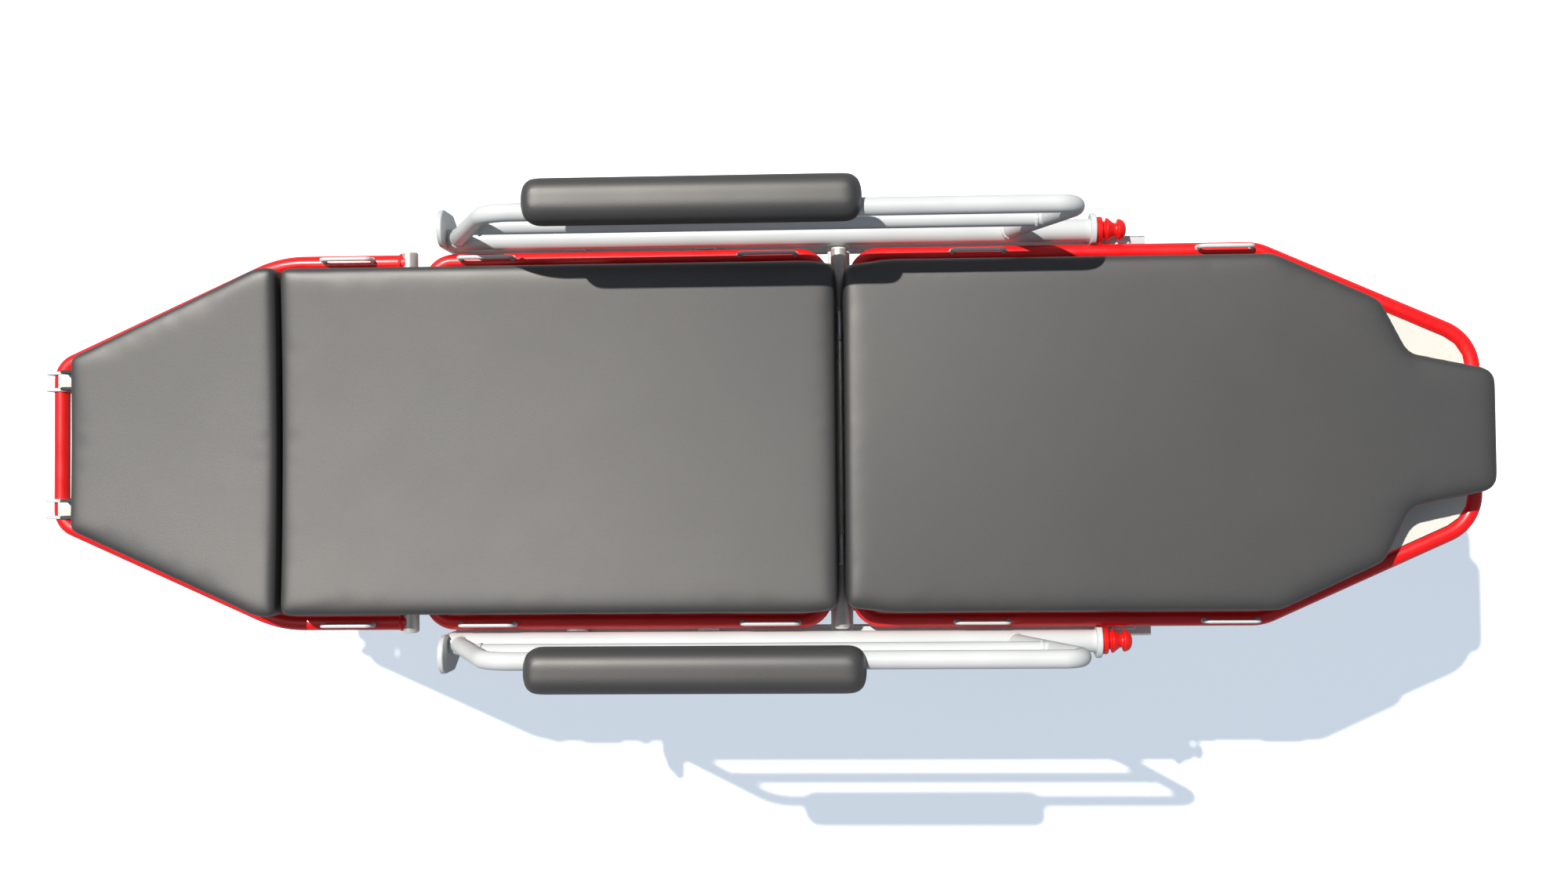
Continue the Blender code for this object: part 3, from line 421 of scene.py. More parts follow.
class Shape:
    """One visible piece, put together from swept, turned and bevelled forms."""

    def __init__(self):
        self.work = bmesh.new()

    def _ring(self, centre, across, up, radius, sides):
        return [self.work.verts.new(centre + (across * math.cos(a) + up * math.sin(a)) * radius)
                for a in (2 * math.pi * number / sides for number in range(sides))]

    def sweep(self, points, radius, closed=False, sides=28, ripple=0.0, edge=0.0015):
        """A round bar along the points. ripple makes it swell and shrink, as a weld bead does."""
        points = [Vector(p) for p in points]
        count = len(points)
        ways = []
        for index, point in enumerate(points):
            before = points[index - 1] if closed or index else point
            after = points[(index + 1) % count] if closed or index < count - 1 else point
            ways.append((after - before).normalized())
        across = ways[0].orthogonal().normalized()
        frames = []
        for index, way in enumerate(ways):
            if index:
                turn = ways[index - 1].rotation_difference(way)
                across = turn @ across
            across = (across - way * across.dot(way)).normalized()
            frames.append(across)
        twist = 0.0
        if closed:
            back = ways[-1].rotation_difference(ways[0]) @ across
            twist = math.atan2(back.cross(frames[0]).dot(ways[0]), back.dot(frames[0]))
        rings = []
        for index, (point, way, across) in enumerate(zip(points, ways, frames)):
            side = Matrix.Rotation(twist * index / count, 3, way) @ across if closed else across
            swell = 1 + ripple * math.sin(index * 2.4)
            rings.append(self._ring(point, side, way.cross(side), radius * swell, sides))
        if not closed and edge:
            for index, sign in ((0, -1), (-1, 1)):
                way, side = ways[index] * sign, frames[index]
                caps = [self._ring(points[index] + way * edge * math.sin(a), side, ways[index].cross(side),
                                   radius - edge * (1 - math.cos(a)), sides)
                        for a in (math.pi / 6, math.pi / 3, math.pi / 2)]
                rings = rings + caps if sign > 0 else caps[::-1] + rings
        pairs = list(zip(rings, rings[1:])) + ([(rings[-1], rings[0])] if closed else [])
        for low, high in pairs:
            for k in range(sides):
                self.work.faces.new((low[k], low[(k + 1) % sides], high[(k + 1) % sides], high[k]))
        if not closed:
            self.work.faces.new(rings[0][::-1])
            self.work.faces.new(rings[-1])
        return self

    def bar(self, start, end, radius, sides=28, edge=0.001):
        return self.sweep([start, end], radius, sides=sides, edge=edge)

    def cross_bar(self, x, z, y, radius, sides=28, edge=0.001):
        return self.bar((x, y[0], z), (x, y[1], z), radius, sides, edge)

    def bead(self, centre, axis, radius, thick=0.0024):
        """A rippled weld bead round a tube."""
        axis = Vector(axis).normalized()
        across = axis.orthogonal().normalized()
        up = axis.cross(across)
        count = 36
        ring = [Vector(centre) + (across * math.cos(a) + up * math.sin(a)) * radius
                for a in (2 * math.pi * k / count for k in range(count))]
        return self.sweep(ring, thick, closed=True, sides=8, ripple=0.14)

    def turned(self, profile, centre, axis, steps=40):
        """A closed (radius, height) profile turned about the axis. A radius of 0 closes an end."""
        frame_matrix = Matrix.Translation(centre) @ AXES[axis]
        rings = []
        for radius, height in profile:
            if radius < 1e-7:
                rings.append([self.work.verts.new(frame_matrix @ Vector((0, 0, height)))])
            else:
                turns = (2 * math.pi * k / steps for k in range(steps))
                spots = (Vector((radius * math.cos(a), radius * math.sin(a), height)) for a in turns)
                rings.append([self.work.verts.new(frame_matrix @ spot) for spot in spots])
        if len(rings[0]) > 1 and len(rings[-1]) > 1:
            rings.append(rings[0])
        for low, high in zip(rings, rings[1:]):
            for k in range(steps):
                ring = []
                for vertex in (low[k % len(low)], low[(k + 1) % len(low)], high[(k + 1) % len(high)],
                               high[k % len(high)]):
                    if vertex not in ring:
                        ring.append(vertex)
                if len(ring) > 2:
                    self.work.faces.new(ring)
        return self

    def box(self, x, y, z, edge, segments=2):
        """A box with rounded edges."""
        made = bmesh.ops.create_cube(self.work, size=1)["verts"]
        size = Vector((abs(x[1] - x[0]), abs(y[1] - y[0]), abs(z[1] - z[0])))
        bmesh.ops.scale(self.work, vec=size, verts=made)
        bmesh.ops.translate(self.work, vec=(sum(x) / 2, sum(y) / 2, sum(z) / 2), verts=made)
        edges = list({e for v in made for e in v.link_edges})
        bmesh.ops.bevel(self.work, geom=edges, offset=edge, segments=segments, affect="EDGES", profile=0.5)
        return self

    def plate(self, corners, low, high, plane, edge=0.0008):
        """A flat outline of rounded (a, b, radius) corners, from low to high along the plane's normal, with
        softened rims."""
        place = {"XY": lambda a, b, h: (a, b, h), "XZ": lambda a, b, h: (a, h, b),
                 "YZ": lambda a, b, h: (h, a, b)}[plane]
        outline = rounded([(a, b, 0, r) for a, b, r in corners], closed=True, step=math.radians(9))
        area = sum(p.x * q.y - q.x * p.y for p, q in zip(outline, outline[1:] + outline[:1]))
        if area < 0:
            outline.reverse()
        inner = inset(outline, edge)
        levels = [(inner, low), (outline, low + edge), (outline, high - edge), (inner, high)]
        rings = [[self.work.verts.new(place(p.x, p.y, h)) for p in line] for line, h in levels]
        count = len(outline)
        for lower, upper in zip(rings, rings[1:]):
            for k in range(count):
                self.work.faces.new((lower[k], lower[(k + 1) % count], upper[(k + 1) % count], upper[k]))
        self.work.faces.new(rings[0][::-1])
        self.work.faces.new(rings[-1])
        return self

    def bolt(self, place, axis, radius, height, sign):
        """A hexagon head on a washer."""
        way = AXES[axis].to_3x3() @ Vector((0, 0, sign))
        place = Vector(place)
        self.sweep([place, place + way * 0.0010], radius * 1.5, sides=20, edge=0.0003)
        self.sweep([place + way * 0.0008, place + way * (0.0010 + height)], radius, sides=6, edge=0.0004)
        return self

    def done(self, name, body, slot, replaced=()):
        bmesh.ops.recalc_face_normals(self.work, faces=self.work.faces)
        obj = as_object(name, self.work)
        obj.data.shade_smooth()
        obj.data.set_sharp_from_angle(angle=SHARP_ANGLE)
        finished(obj, body, slot, replaced)


def inset(outline, depth):
    """A counter-clockwise outline moved inwards."""
    moved = []
    count = len(outline)
    for index, point in enumerate(outline):
        before = (point - outline[index - 1]).normalized()
        after = (outline[(index + 1) % count] - point).normalized()
        first, second = Vector((-before.y, before.x, 0)), Vector((-after.y, after.x, 0))
        middle = (first + second).normalized()
        moved.append(point + middle * depth / max(0.3, middle.dot(first)))
    return moved


# ---------------------------------------------------------------- mattress frame


def head_frame():
    """The loop at the head, open where the cross tube closes it."""
    run = mirrored_run([(HEAD_TUBE_X - 0.004, FRAME_HALF, FRAME_Z, 0),
                        (HEAD_BEND_X, FRAME_HALF, FRAME_Z, HEAD_CORNER_R[0]),
                        (HEAD_END_X, HEAD_END_HALF, FRAME_Z, HEAD_CORNER_R[1])])
    shape = Shape().sweep(rounded(run, step=math.radians(4)), FRAME_R, edge=0)
    for side in SIDES.values():
        shape.bead((HEAD_TUBE_X - FRAME_R - 0.0005, side * FRAME_HALF, FRAME_Z), (1, 0, 0), FRAME_R - WELD_SINK)
    shape.done("head_loop_tube", "back_section", "red_paint", ("head_frame",))


def back_frame():
    """The middle loop, its prop shaft, the knuckles on the hinge tube, and the links to the head section."""
    outline = mirrored_outline([(x, FRAME_HALF, CORNER_R) for x in BACK_X])
    corners = [(x, y, FRAME_Z, r) for x, y, r in outline]
    shape = Shape().sweep(rounded(corners, closed=True), FRAME_R, closed=True)
    shaft_x = HINGE_X - PROP_REACH
    for side in SIDES.values():
        shape.bead((shaft_x, side * (FRAME_HALF - FRAME_R - 0.0005), FRAME_Z), (0, 1, 0), 0.0048, 0.0018)
    shape.done("back_loop_tube", "back_section", "red_paint", ("back_frame",))
    fittings = Shape().cross_bar(shaft_x, FRAME_Z, (-FRAME_HALF, FRAME_HALF), PROP_SHAFT_R)
    for side in SIDES.values():
        y = sorted(side * edge for edge in KNUCKLE_Y)
        length = y[1] - y[0]
        soft = 0.0006
        profile = [(HINGE_R + GAP, 0), (KNUCKLE_R - soft, 0), (KNUCKLE_R, soft), (KNUCKLE_R, length - soft),
                   (KNUCKLE_R - soft, length), (HINGE_R + GAP, length)]
        fittings.turned(profile, (HINGE_X, y[0], FRAME_Z), "Y")
        fittings.box((BACK_X[1] + 0.002, HINGE_X - 0.0105), y, (FRAME_Z - 0.007, FRAME_Z + 0.007),
                     edge=0.0015)
        link_y = sorted(side * edge for edge in LINK_Y)
        fittings.box((HEAD_TUBE_X - 0.012, BACK_X[0] + 0.008), link_y, LINK_Z, 0.0006)
    fittings.done("back_loop_fittings", "back_section", "zinc")


def leg_frame():
    """The foot loop, with the release handle on two ears under it."""
    run = [(LEG_START_X, FRAME_HALF, CORNER_R), (LEG_BEND_X, FRAME_HALF, FOOT_CORNER_R[0]),
           (FOOT_END_X, FOOT_END_HALF, FOOT_CORNER_R[1])]
    corners = [(x, y, FRAME_Z, r) for x, y, r in mirrored_outline(run)]
    shape = Shape().sweep(rounded(corners, closed=True), FRAME_R, closed=True)
    x, z = HANDLE_PIVOT
    for side in SIDES.values():
        y = sorted(side * edge for edge in EAR_Y)
        low, high = z - 0.008, FRAME_Z - 0.006
        outline = [(x - 0.008, low, 0.006), (x + 0.008, low, 0.006), (x + 0.008, high, 0.001), (x - 0.008, high, 0.001)]
        shape.plate(outline, *y, plane="XZ")
    shape.done("leg_loop_tube", "chassis", "red_paint", ("leg_frame",))
    grip_x, grip_z = x - 0.067, z - 0.012
    run = mirrored_run([(x, 0.050, z, 0), (x, HANDLE_HALF, z, 0.008), (grip_x, HANDLE_HALF, grip_z, 0.012)])
    Shape().sweep(rounded(run), HANDLE_R, sides=16).done("release_bail", "handle", "zinc", ("release_handle",))
    sleeve = ring_profile(HANDLE_R, 0.0078, 0.034)
    Shape().turned(sleeve, (grip_x, 0, grip_z), "Y").done("release_grip", "handle", "red_plastic")


def cross_tubes():
    """Bare tubes with a plastic plug in each end."""
    for place, x, radius, body in (("head", HEAD_TUBE_X, FRAME_R, "back_section"),
                                   ("hinge", HINGE_X, HINGE_R, "chassis")):
        name, half = f"{place}_cross_tube", CROSS_TUBE_HALF[place]
        tube = Shape().cross_bar(x, FRAME_Z, (-half + 0.003, half - 0.003), radius, 40, edge=0.0006)
        tube.done(f"{name}_bare", body, "bare_metal", (name,))
        plugs = Shape()
        for side in SIDES.values():
            profile = [(0, half), (radius - 0.003, half - 0.0002), (radius - 0.0012, half - 0.0010),
                       (radius - 0.0002, half - 0.0026), (radius - 0.0002, half - 0.0045), (0, half - 0.0045)]
            plugs.turned([(r, side * h) for r, h in profile], (x, 0, FRAME_Z), "Y")
        plugs.done(f"{name}_plugs", body, "deck_sheet")


def strap_loops():
    """Wire staples on the side tubes."""
    for place, (x, length) in LOOPS.items():
        body = "chassis" if place.startswith("leg") else "back_section"
        for side_name, side in SIDES.items():
            y = side * LOOP_Y
            half = length / 2 - LOOP_R
            low = FRAME_Z + FRAME_R - WELD_SINK
            run = [(x - half, y, low, 0), (x - half, y, LOOP_TOP_Z, 0.007), (x + half, y, LOOP_TOP_Z, 0.007),
                   (x + half, y, low, 0)]
            shape = Shape().sweep(rounded(run), LOOP_R, sides=16, edge=0)
            for end in ENDS.values():
                shape.bead((x + end * half, y, low + 0.0010), (0, 0, 1), LOOP_R, 0.0011)
            replaced = (f"{side_name}_strap_loop_{place}",)
            shape.done(f"{side_name}_wire_loop_{place}", body, "white_paint", replaced)


# ---------------------------------------------------------------- side rails


def side_rail(name, side):
    """The pivot tube, the bent top tube and the middle rail."""
    y = side * RAIL_Y
    shape = Shape().bar((BEAM_X[0], y, FRAME_Z), (FLANGE_X[0] - GAP, y, FRAME_Z), RAIL_PIVOT_R, 40)
    slope = (RAIL_CORNER_X[0] - RAIL_FOOT_X[0]) / (RAIL_TOP_Z - FRAME_Z)
    start_z = FRAME_Z + 0.008
    start_x = RAIL_FOOT_X[0] + slope * (start_z - FRAME_Z)
    corners = [(start_x, y, start_z, 0), (RAIL_CORNER_X[0], y, RAIL_TOP_Z, RAIL_CORNER_R[0]),
               (RAIL_CORNER_X[1], y, RAIL_TOP_Z, RAIL_CORNER_R[1]), (RAIL_FOOT_X[1], y, FRAME_Z, 0)]
    shape.sweep(rounded(corners), RAIL_R, edge=0)
    share = (RAIL_MID_Z - FRAME_Z) / (RAIL_TOP_Z - FRAME_Z)
    mid_x = [foot + (corner - foot) * share for foot, corner in zip(RAIL_FOOT_X, RAIL_CORNER_X)]
    shape.bar((mid_x[0], y, RAIL_MID_Z), (mid_x[1], y, RAIL_MID_Z), RAIL_MID_R, edge=0)
    shape.bar((PLATE_X[0] + GAP, y, FRAME_Z), (BEAM_X[0] + 0.010, y, FRAME_Z), PIN_R)
    shape.bead((mid_x[0] + RAIL_R * 1.1, y, RAIL_MID_Z), (1, 0, 0), RAIL_MID_R - WELD_SINK)
    shape.bead((mid_x[1] - RAIL_R * 1.1, y, RAIL_MID_Z), (1, 0, 0), RAIL_MID_R - WELD_SINK)
    for foot, corner in zip(RAIL_FOOT_X, RAIL_CORNER_X):
        way = Vector((corner - foot, 0, RAIL_TOP_Z - FRAME_Z)).normalized()
        seat = Vector((foot, y, FRAME_Z)) + way * (RAIL_PIVOT_R + 0.0008)
        shape.bead(seat, way, RAIL_R - WELD_SINK)
    shape.done(f"{name}_rail_tubes", f"{name}_rail", "white_paint", (f"{name}_side_rail",))


def rail_fittings(name, side):
    """The plate at a rail's head end, and the flange and pull knob at its foot end."""
    corners = [(0.262, 0.575, 0.004), (0.296, 0.575, 0.010), (0.313, 0.605, 0.012), (0.313, 0.671, 0.024),
               (0.262, 0.671, 0.024)]
    plate_shape = Shape().plate([(side * y, z, r) for y, z, r in corners], *PLATE_X, plane="YZ", edge=0.0012)
    plate_shape.done(f"{name}_end_bracket", "chassis", "white_paint", (f"{name}_rail_end_plate",))
    y = side * RAIL_Y
    bore, thick = PIN_R + 0.0005, FLANGE_X[1] - FLANGE_X[0]
    profile = [(bore, 0), (FLANGE_RIM_R, 0), (FLANGE_R, 0.001), (FLANGE_R, thick - 0.001), (FLANGE_RIM_R, thick),
               (bore, thick)]
    flange = Shape().turned(profile, (FLANGE_X[0], y, FRAME_Z), "X", 56)
    limit = side * (FRAME_HALF + FRAME_R + 0.0004)
    for vertex in flange.work.verts:
        if side * (vertex.co.y - limit) < 0:
            vertex.co.y = limit
    flange.box(FLANGE_X, sorted((side * 0.262, side * 0.286)), (0.6003, 0.612), 0.001)
    flange.done(f"{name}_flange_disc", "chassis", "white_paint", (f"{name}_rail_flange",))
    outline = [(0.0170, 0.0), (0.0178, 0.0008), (0.0178, 0.0072), (0.0172, 0.0081), (0.0122, 0.0092),
               (0.0117, 0.0100), (0.0117, 0.0122), (0.0124, 0.0130), (0.0158, 0.0139), (0.0162, 0.0148),
               (0.0155, 0.0164), (0.0098, 0.0236), (0.0092, 0.0248), (0.0092, 0.0270), (0.0098, 0.0280),
               (0.0140, 0.0292), (0.0146, 0.0304), (0.0142, 0.0325), (0.0125, 0.0363), (0.0096, 0.0388),
               (0.0060, 0.0401), (0, 0.0405)]
    face = FLANGE_X[1] + GAP
    profile = [(0, face - 0.0215), (PIN_R - 0.001, face - 0.0215), (PIN_R, face - 0.0205), (PIN_R, face)]
    profile += [(radius, face + reach) for radius, reach in outline]
    knob = Shape().turned(profile, (0, y, FRAME_Z), "X", 48)
    knob.done(f"{name}_barbed_knob", f"{name}_knob", "red_plastic", (f"{name}_rail_knob",))


# ---------------------------------------------------------------- loading wheels


def loader(name, side):
    """A loading wheel between two cheeks, with the web and the stops above it."""
    y = side * LOADER_Y
    top = FRAME_Z + FRAME_R + 0.003
    outline = [(LOADER_TIP_X, 0.612, 0.006), (LOADER_TIP_X, top, 0.010), (-0.9135, top, 0.003),
               (-0.902, 0.612, 0.010), (-0.902, 0.562, 0.012), (-0.934, 0.562, 0.012), (-0.962, 0.604, 0.010)]
    half = LOADER_PLATE / 2
    x, z = LOADER_AXLE
    fork = Shape()
    for cheek in SIDES.values():
        middle = y + cheek * LOADER_PLATE_Y
        fork.plate(outline, middle - half, middle + half, "XZ", 0.0007)
        fork.bolt((x, middle + cheek * half, z), "Y", 0.0045, 0.0028, cheek)
    fork.cross_bar(x, z, (y - LOADER_PLATE_Y, y + LOADER_PLATE_Y), LOADER_AXLE_R)
    fork.done(f"{name}_loader_cheeks", "back_section", "white_paint", (f"{name}_loading_fork",))
    web_half = LOADER_PLATE_Y - half
    web = Shape().box(LOADER_WEB_X, (y - web_half, y + web_half), LOADER_WEB_Z, 0.0006)
    web.done(f"{name}_loader_web", "back_section", "deck_sheet")
    stops = Shape()
    for cheek in SIDES.values():
        middle = y + cheek * LOADER_PLATE_Y
        stops.plate([(LOADER_STOP_X[0], top - 0.001, 0.001), (LOADER_STOP_X[1], top - 0.001, 0.001),
                     (LOADER_STOP_X[1], LOADER_STOP_TOP, 0.004), (LOADER_STOP_X[0], LOADER_STOP_TOP, 0.004)],
                    middle - half, middle + half, "XZ", 0.0010)
    stops.done(f"{name}_loader_stops", "back_section", "tyre_rubber")
    wheel = mirrored_profile([(0.0340, -0.0052), (0.0355, -0.0062), (0.0375, -0.0070), (0.0392, -0.0058),
                              (0.0400, -0.0030)])
    tyre = Shape().turned(wheel, (x, y, z), "Y", 56)
    tyre.done(f"{name}_loader_tyre", f"{name}_loader_wheel", "tyre_rubber", (f"{name}_loading_wheel",))
    hub = mirrored_profile([(0.0046, -0.0070), (0.0090, -0.0070), (0.0105, -0.0064), (0.0130, -0.0032),
                            (0.0305, -0.0040), (0.0325, -0.0056), (0.0343, -0.0050)])
    rim = Shape().turned(hub, (x, y, z), "Y", 48)
    rim.done(f"{name}_loader_hub", f"{name}_loader_wheel", "wheel_grey")


# ---------------------------------------------------------------- casters


def caster(tag, x, y, braked):
    """A swivel fork and its wheel. A braked one has a pedal."""
    fork_body, wheel_body = f"caster_{tag}", f"wheel_{tag}"
    inner, outer = CASTER_CHEEK_Y
    fork = Shape().box((x - 0.060, x + 0.024), (y - outer, y + outer), CASTER_CROWN_Z, 0.0022, 3)
    outline = [(0.024, 0.1345, 0.002), (0.024, 0.118, 0.010), (-0.020, 0.049, 0.014), (-0.050, 0.049, 0.014),
               (-0.060, 0.118, 0.012), (-0.060, 0.1345, 0.002)]
    outline = [(x + a, b, r) for a, b, r in outline]
    for side in SIDES.values():
        low, high = sorted((y + side * inner, y + side * outer))
        fork.plate(outline, low, high, "XZ", 0.0009)
        fork.bolt((x - CASTER_TRAIL, y + side * outer, WHEEL_R), "Y", 0.0055, 0.0035, side)
    fork.cross_bar(x - CASTER_TRAIL, WHEEL_R, (y - 0.019, y + 0.019), 0.005)
    race = [(0.004, 0.1365), (0.0195, 0.1365), (0.0205, 0.1380), (0.0205, 0.1410), (0.0190, 0.1425),
            (0.0160, 0.1435), (0.0160, 0.1465), (0.0185, 0.1475), (0.0185, 0.1515), (0.0175, 0.1525),
            (0.004, 0.1525)]
    fork.turned(race, (x, y, 0), "Z", 40)
    if braked:
        px, pz = x + PEDAL_PIVOT[0], PEDAL_PIVOT[1]
        for side in SIDES.values():
            ear = sorted((y + side * 0.0125, y + side * 0.0165))
            fork.plate([(px - 0.007, 0.136, 0.001), (px + 0.007, 0.136, 0.001), (px + 0.007, 0.1495, 0.006),
                        (px - 0.007, 0.1495, 0.006)], *ear, "XZ", 0.0006)
        fork.cross_bar(px, pz, (y - 0.0178, y + 0.0178), 0.003)
    fork.done(f"caster_yoke_{tag}", fork_body, "zinc", (f"caster_fork_{tag}",))

    centre = (x - CASTER_TRAIL, y, WHEEL_R)
    tread = mirrored_profile([(0.0520, -0.0115), (0.0545, -0.0130), (0.0580, -0.0138), (0.0606, -0.0118),
                              (0.0620, -0.0080), (0.0625, -0.0040)])
    tyre = Shape().turned(tread, centre, "Y", 72)
    tyre.done(f"caster_tyre_{tag}", wheel_body, "tyre_rubber", (f"caster_wheel_{tag}",))
    web = mirrored_profile([(0.0056, -0.0140), (0.0150, -0.0140), (0.0165, -0.0118), (0.0190, -0.0058),
                            (0.0465, -0.0070), (0.0480, -0.0112), (0.0505, -0.0124), (0.0523, -0.0112)])
    rim = Shape().turned(web, centre, "Y", 64)
    for number in range(6):
        angle = math.pi / 3 * number
        way = Vector((math.cos(angle), 0, math.sin(angle)))
        for side in SIDES.values():
            face = Vector(centre) + Vector((0, side * 0.0072, 0))
            start, end = (face + way * reach for reach in (0.016, 0.048))
            rim.bar(start, end, 0.0030, 10, 0)
    rim.done(f"caster_rim_{tag}", wheel_body, "wheel_grey")
    if braked:
        sleeve = mirrored_profile([(0.0033, -0.0118), (0.0050, -0.0118), (0.0057, -0.0110)])
        pedal = Shape().turned(sleeve, (px, y, pz), "Y")
        pedal.box((x - 0.125, px - 0.0030), (y - 0.011, y + 0.011), (0.1405, 0.1445), 0.001)
        pedal.plate([(x - 0.130, y - 0.024, 0.006), (x - 0.100, y - 0.024, 0.006), (x - 0.100, y + 0.024, 0.006),
                     (x - 0.130, y + 0.024, 0.006)], 0.1415, 0.1472, "XY", 0.0014)
        for row in range(4):
            rx = x - 0.1255 + row * 0.0070
            pedal.box((rx, rx + 0.0028), (y - 0.019, y + 0.019), (0.1468, 0.1480), 0.0005, 1)
        pedal.done(f"pedal_{tag}", f"pedal_{tag}", "red_plastic", (f"brake_pedal_{tag}",))


# ---------------------------------------------------------------- undercarriage


def legs(name, leg_y, fixed, sliding, channel_y, body, replaced, bar_half=0.0):
    """A pair of legs with a brace, and an axle with rollers at the sliding end. bar_half is half the length of
    a pivot bar at the fixed end."""
    fixed, sliding = Vector(fixed), Vector(sliding)
    centre = (fixed + sliding) / 2
    along = (fixed - sliding).normalized()
    brace = centre + along * BRACE_REACH
    shape = Shape().cross_bar(brace.x, brace.z, (-leg_y, leg_y), BRACE_R, edge=0)
    shape.cross_bar(sliding.x, sliding.z, (-channel_y[1], channel_y[1]), AXLE_R)
    if bar_half:
        shape.cross_bar(fixed.x, fixed.z, (-bar_half, bar_half), PIN_R)
    rollers = Shape()
    for side in SIDES.values():
        shift = Vector((0, side * leg_y, 0))
        shape.bar(fixed + shift, sliding + shift, LEG_R, 32, 0)
        shape.bead(brace + shift * ((leg_y - LEG_R) / leg_y), (0, 1, 0), BRACE_R - 0.0002)
        for spot in (fixed, centre):
            shape.turned(ring_profile(PIN_R + GAP, BOSS_R, BOSS_HALF), spot + shift, "Y", 36)
        shape.turned(ring_profile(0, BOSS_R - 0.001, BOSS_HALF - 0.0005), sliding + shift, "Y", 36)
        low, high = sorted((side * channel_y[0], side * channel_y[1]))
        rollers.cross_bar(sliding.x, sliding.z, (low, high), ROLLER_R, 36)
    shape.done(f"{name}_tubes", body, "white_paint", (replaced,))
    rollers.done(f"{name}_rollers", body, "wheel_grey")


def pivot_shaft():
    """The shaft where the legs cross, with its spacers, washers and nuts."""
    end_y = 0.2525
    shape = Shape().cross_bar(CENTRE_X, CENTRE_Z, (-end_y, end_y), PIN_R)
    for side in SIDES.values():
        spacer = sorted((side * (INNER_LEG_Y + BOSS_HALF + GAP), side * (OUTER_LEG_Y - BOSS_HALF - GAP)))
        shape.cross_bar(CENTRE_X, CENTRE_Z, spacer, 0.010, edge=0.0002)
        inner = side * (OUTER_LEG_Y + BOSS_HALF + GAP)
        washer = inner + side * 0.0008
        shape.cross_bar(CENTRE_X, CENTRE_Z, sorted((inner, washer)), 0.0105, 24, 0.0002)
        shape.cross_bar(CENTRE_X, CENTRE_Z, sorted((washer, side * (end_y - 0.0013))), NUT_R, 6, 0.0004)
    shape.done("leg_pivot_bolt", "outer_legs", "zinc", ("leg_pivot_shaft",))


def channel(shape, x, y, z, side):
    """A C-section along X, open towards the middle, with the bearing block of the legs in it."""
    low, high = z
    inner, outer = side * y[0], side * y[1]
    for wall_z in ((low, low + WALL), (high - WALL, high)):
        shape.box(x, sorted((inner, outer)), wall_z, 0.0008)
    shape.box(x, sorted((outer - side * WALL, outer)), z, 0.0008)
    block_y = sorted((side * (y[0] + 0.001), side * (y[1] - 0.001)))
    shape.box((LEG_PIVOT_X - BLOCK_HALF, LEG_PIVOT_X + BLOCK_HALF), block_y, (low + 0.001, high - 0.001), 0.001)


def chassis_rails():
    """The beams that the outer legs' rollers run in."""
    for name, side in SIDES.items():
        shape = Shape()
        channel(shape, BEAM_X, BEAM_Y, BEAM_Z, side)
        shape.done(f"{name}_beam", "chassis", "white_paint", (f"{name}_chassis_rail",))
        bolts = Shape()
        for x in (LEG_PIVOT_X, FOOT_MEMBER_X, HINGE_X, *RACK_MEMBER_X):
            bolts.bolt((x, side * BEAM_Y[1], sum(BEAM_Z) / 2), "Y", 0.0050, 0.0030, side)
        bolts.done(f"{name}_beam_bolts", "chassis", "zinc")


def base_frame():
    """Two channels and two end tubes, with the bolts, stem nuts and end plugs."""
    shape = Shape()
    outer = BASE_Y[1]
    for end in ENDS.values():
        x = end * BASE_X
        shape.box((x - BASE_TUBE_HALF, x + BASE_TUBE_HALF), (-outer, outer), BASE_Z, 0.004, 3)
    fittings = Shape()
    plugs = Shape()
    plug_half = BASE_TUBE_HALF - 0.003
    stem_nut = [(0, 0), (0.0125, 0), (0.0125, 0.0010), (0.0080, 0.0014), (0.0080, 0.0042), (0.0066, 0.0052),
                (0, 0.0055)]
    for side in SIDES.values():
        channel(shape, (-BASE_X + 0.010, BASE_X - 0.010), BASE_Y, BASE_Z, side)
        fittings.cross_bar(LEG_PIVOT_X, BASE_AXIS_Z, sorted((side * 0.260, side * 0.2205)), PIN_R)
        nut_y = side * (OUTER_LEG_Y - BOSS_HALF - GAP)
        nut = sorted((nut_y - side * 0.0004, nut_y - side * 0.0036))
        fittings.cross_bar(LEG_PIVOT_X, BASE_AXIS_Z, nut, NUT_R, 6, 0.0004)
        fittings.bolt((LEG_PIVOT_X, side * outer, BASE_AXIS_Z), "Y", 0.0060, 0.0032, side)
        y = sorted((side * (outer - 0.0005), side * (outer + 0.0012)))
        z = (BASE_Z[0] + 0.003, BASE_Z[1] - 0.003)
        for end in ENDS.values():
            x = end * BASE_X
            fittings.turned(stem_nut, (x, side * CASTER_Y, BASE_Z[1]), "Z", 28)
            plugs.box((x - plug_half, x + plug_half), y, z, 0.0006)
    shape.done("base_tubes", "base", "white_paint",
               ("base_head_tube", "base_foot_tube", "left_base_rail", "right_base_rail"))
    fittings.done("base_bolts", "base", "zinc")
    plugs.done("base_plugs", "base", "tyre_rubber")


# ---------------------------------------------------------------- soft pieces

CLOTH_FRAMES = 20


def applied(obj):
    """The object with its modifiers applied."""
    bpy.context.view_layer.update()
    mesh = bpy.data.meshes.new_from_object(obj.evaluated_get(bpy.context.evaluated_depsgraph_get()))
    obj.modifiers.clear()
    obj.data = mesh
    return obj


def voxels(obj, size):
    remesh = obj.modifiers.new("voxels", "REMESH")
    remesh.mode = "VOXEL"
    remesh.voxel_size = size
    return applied(obj)


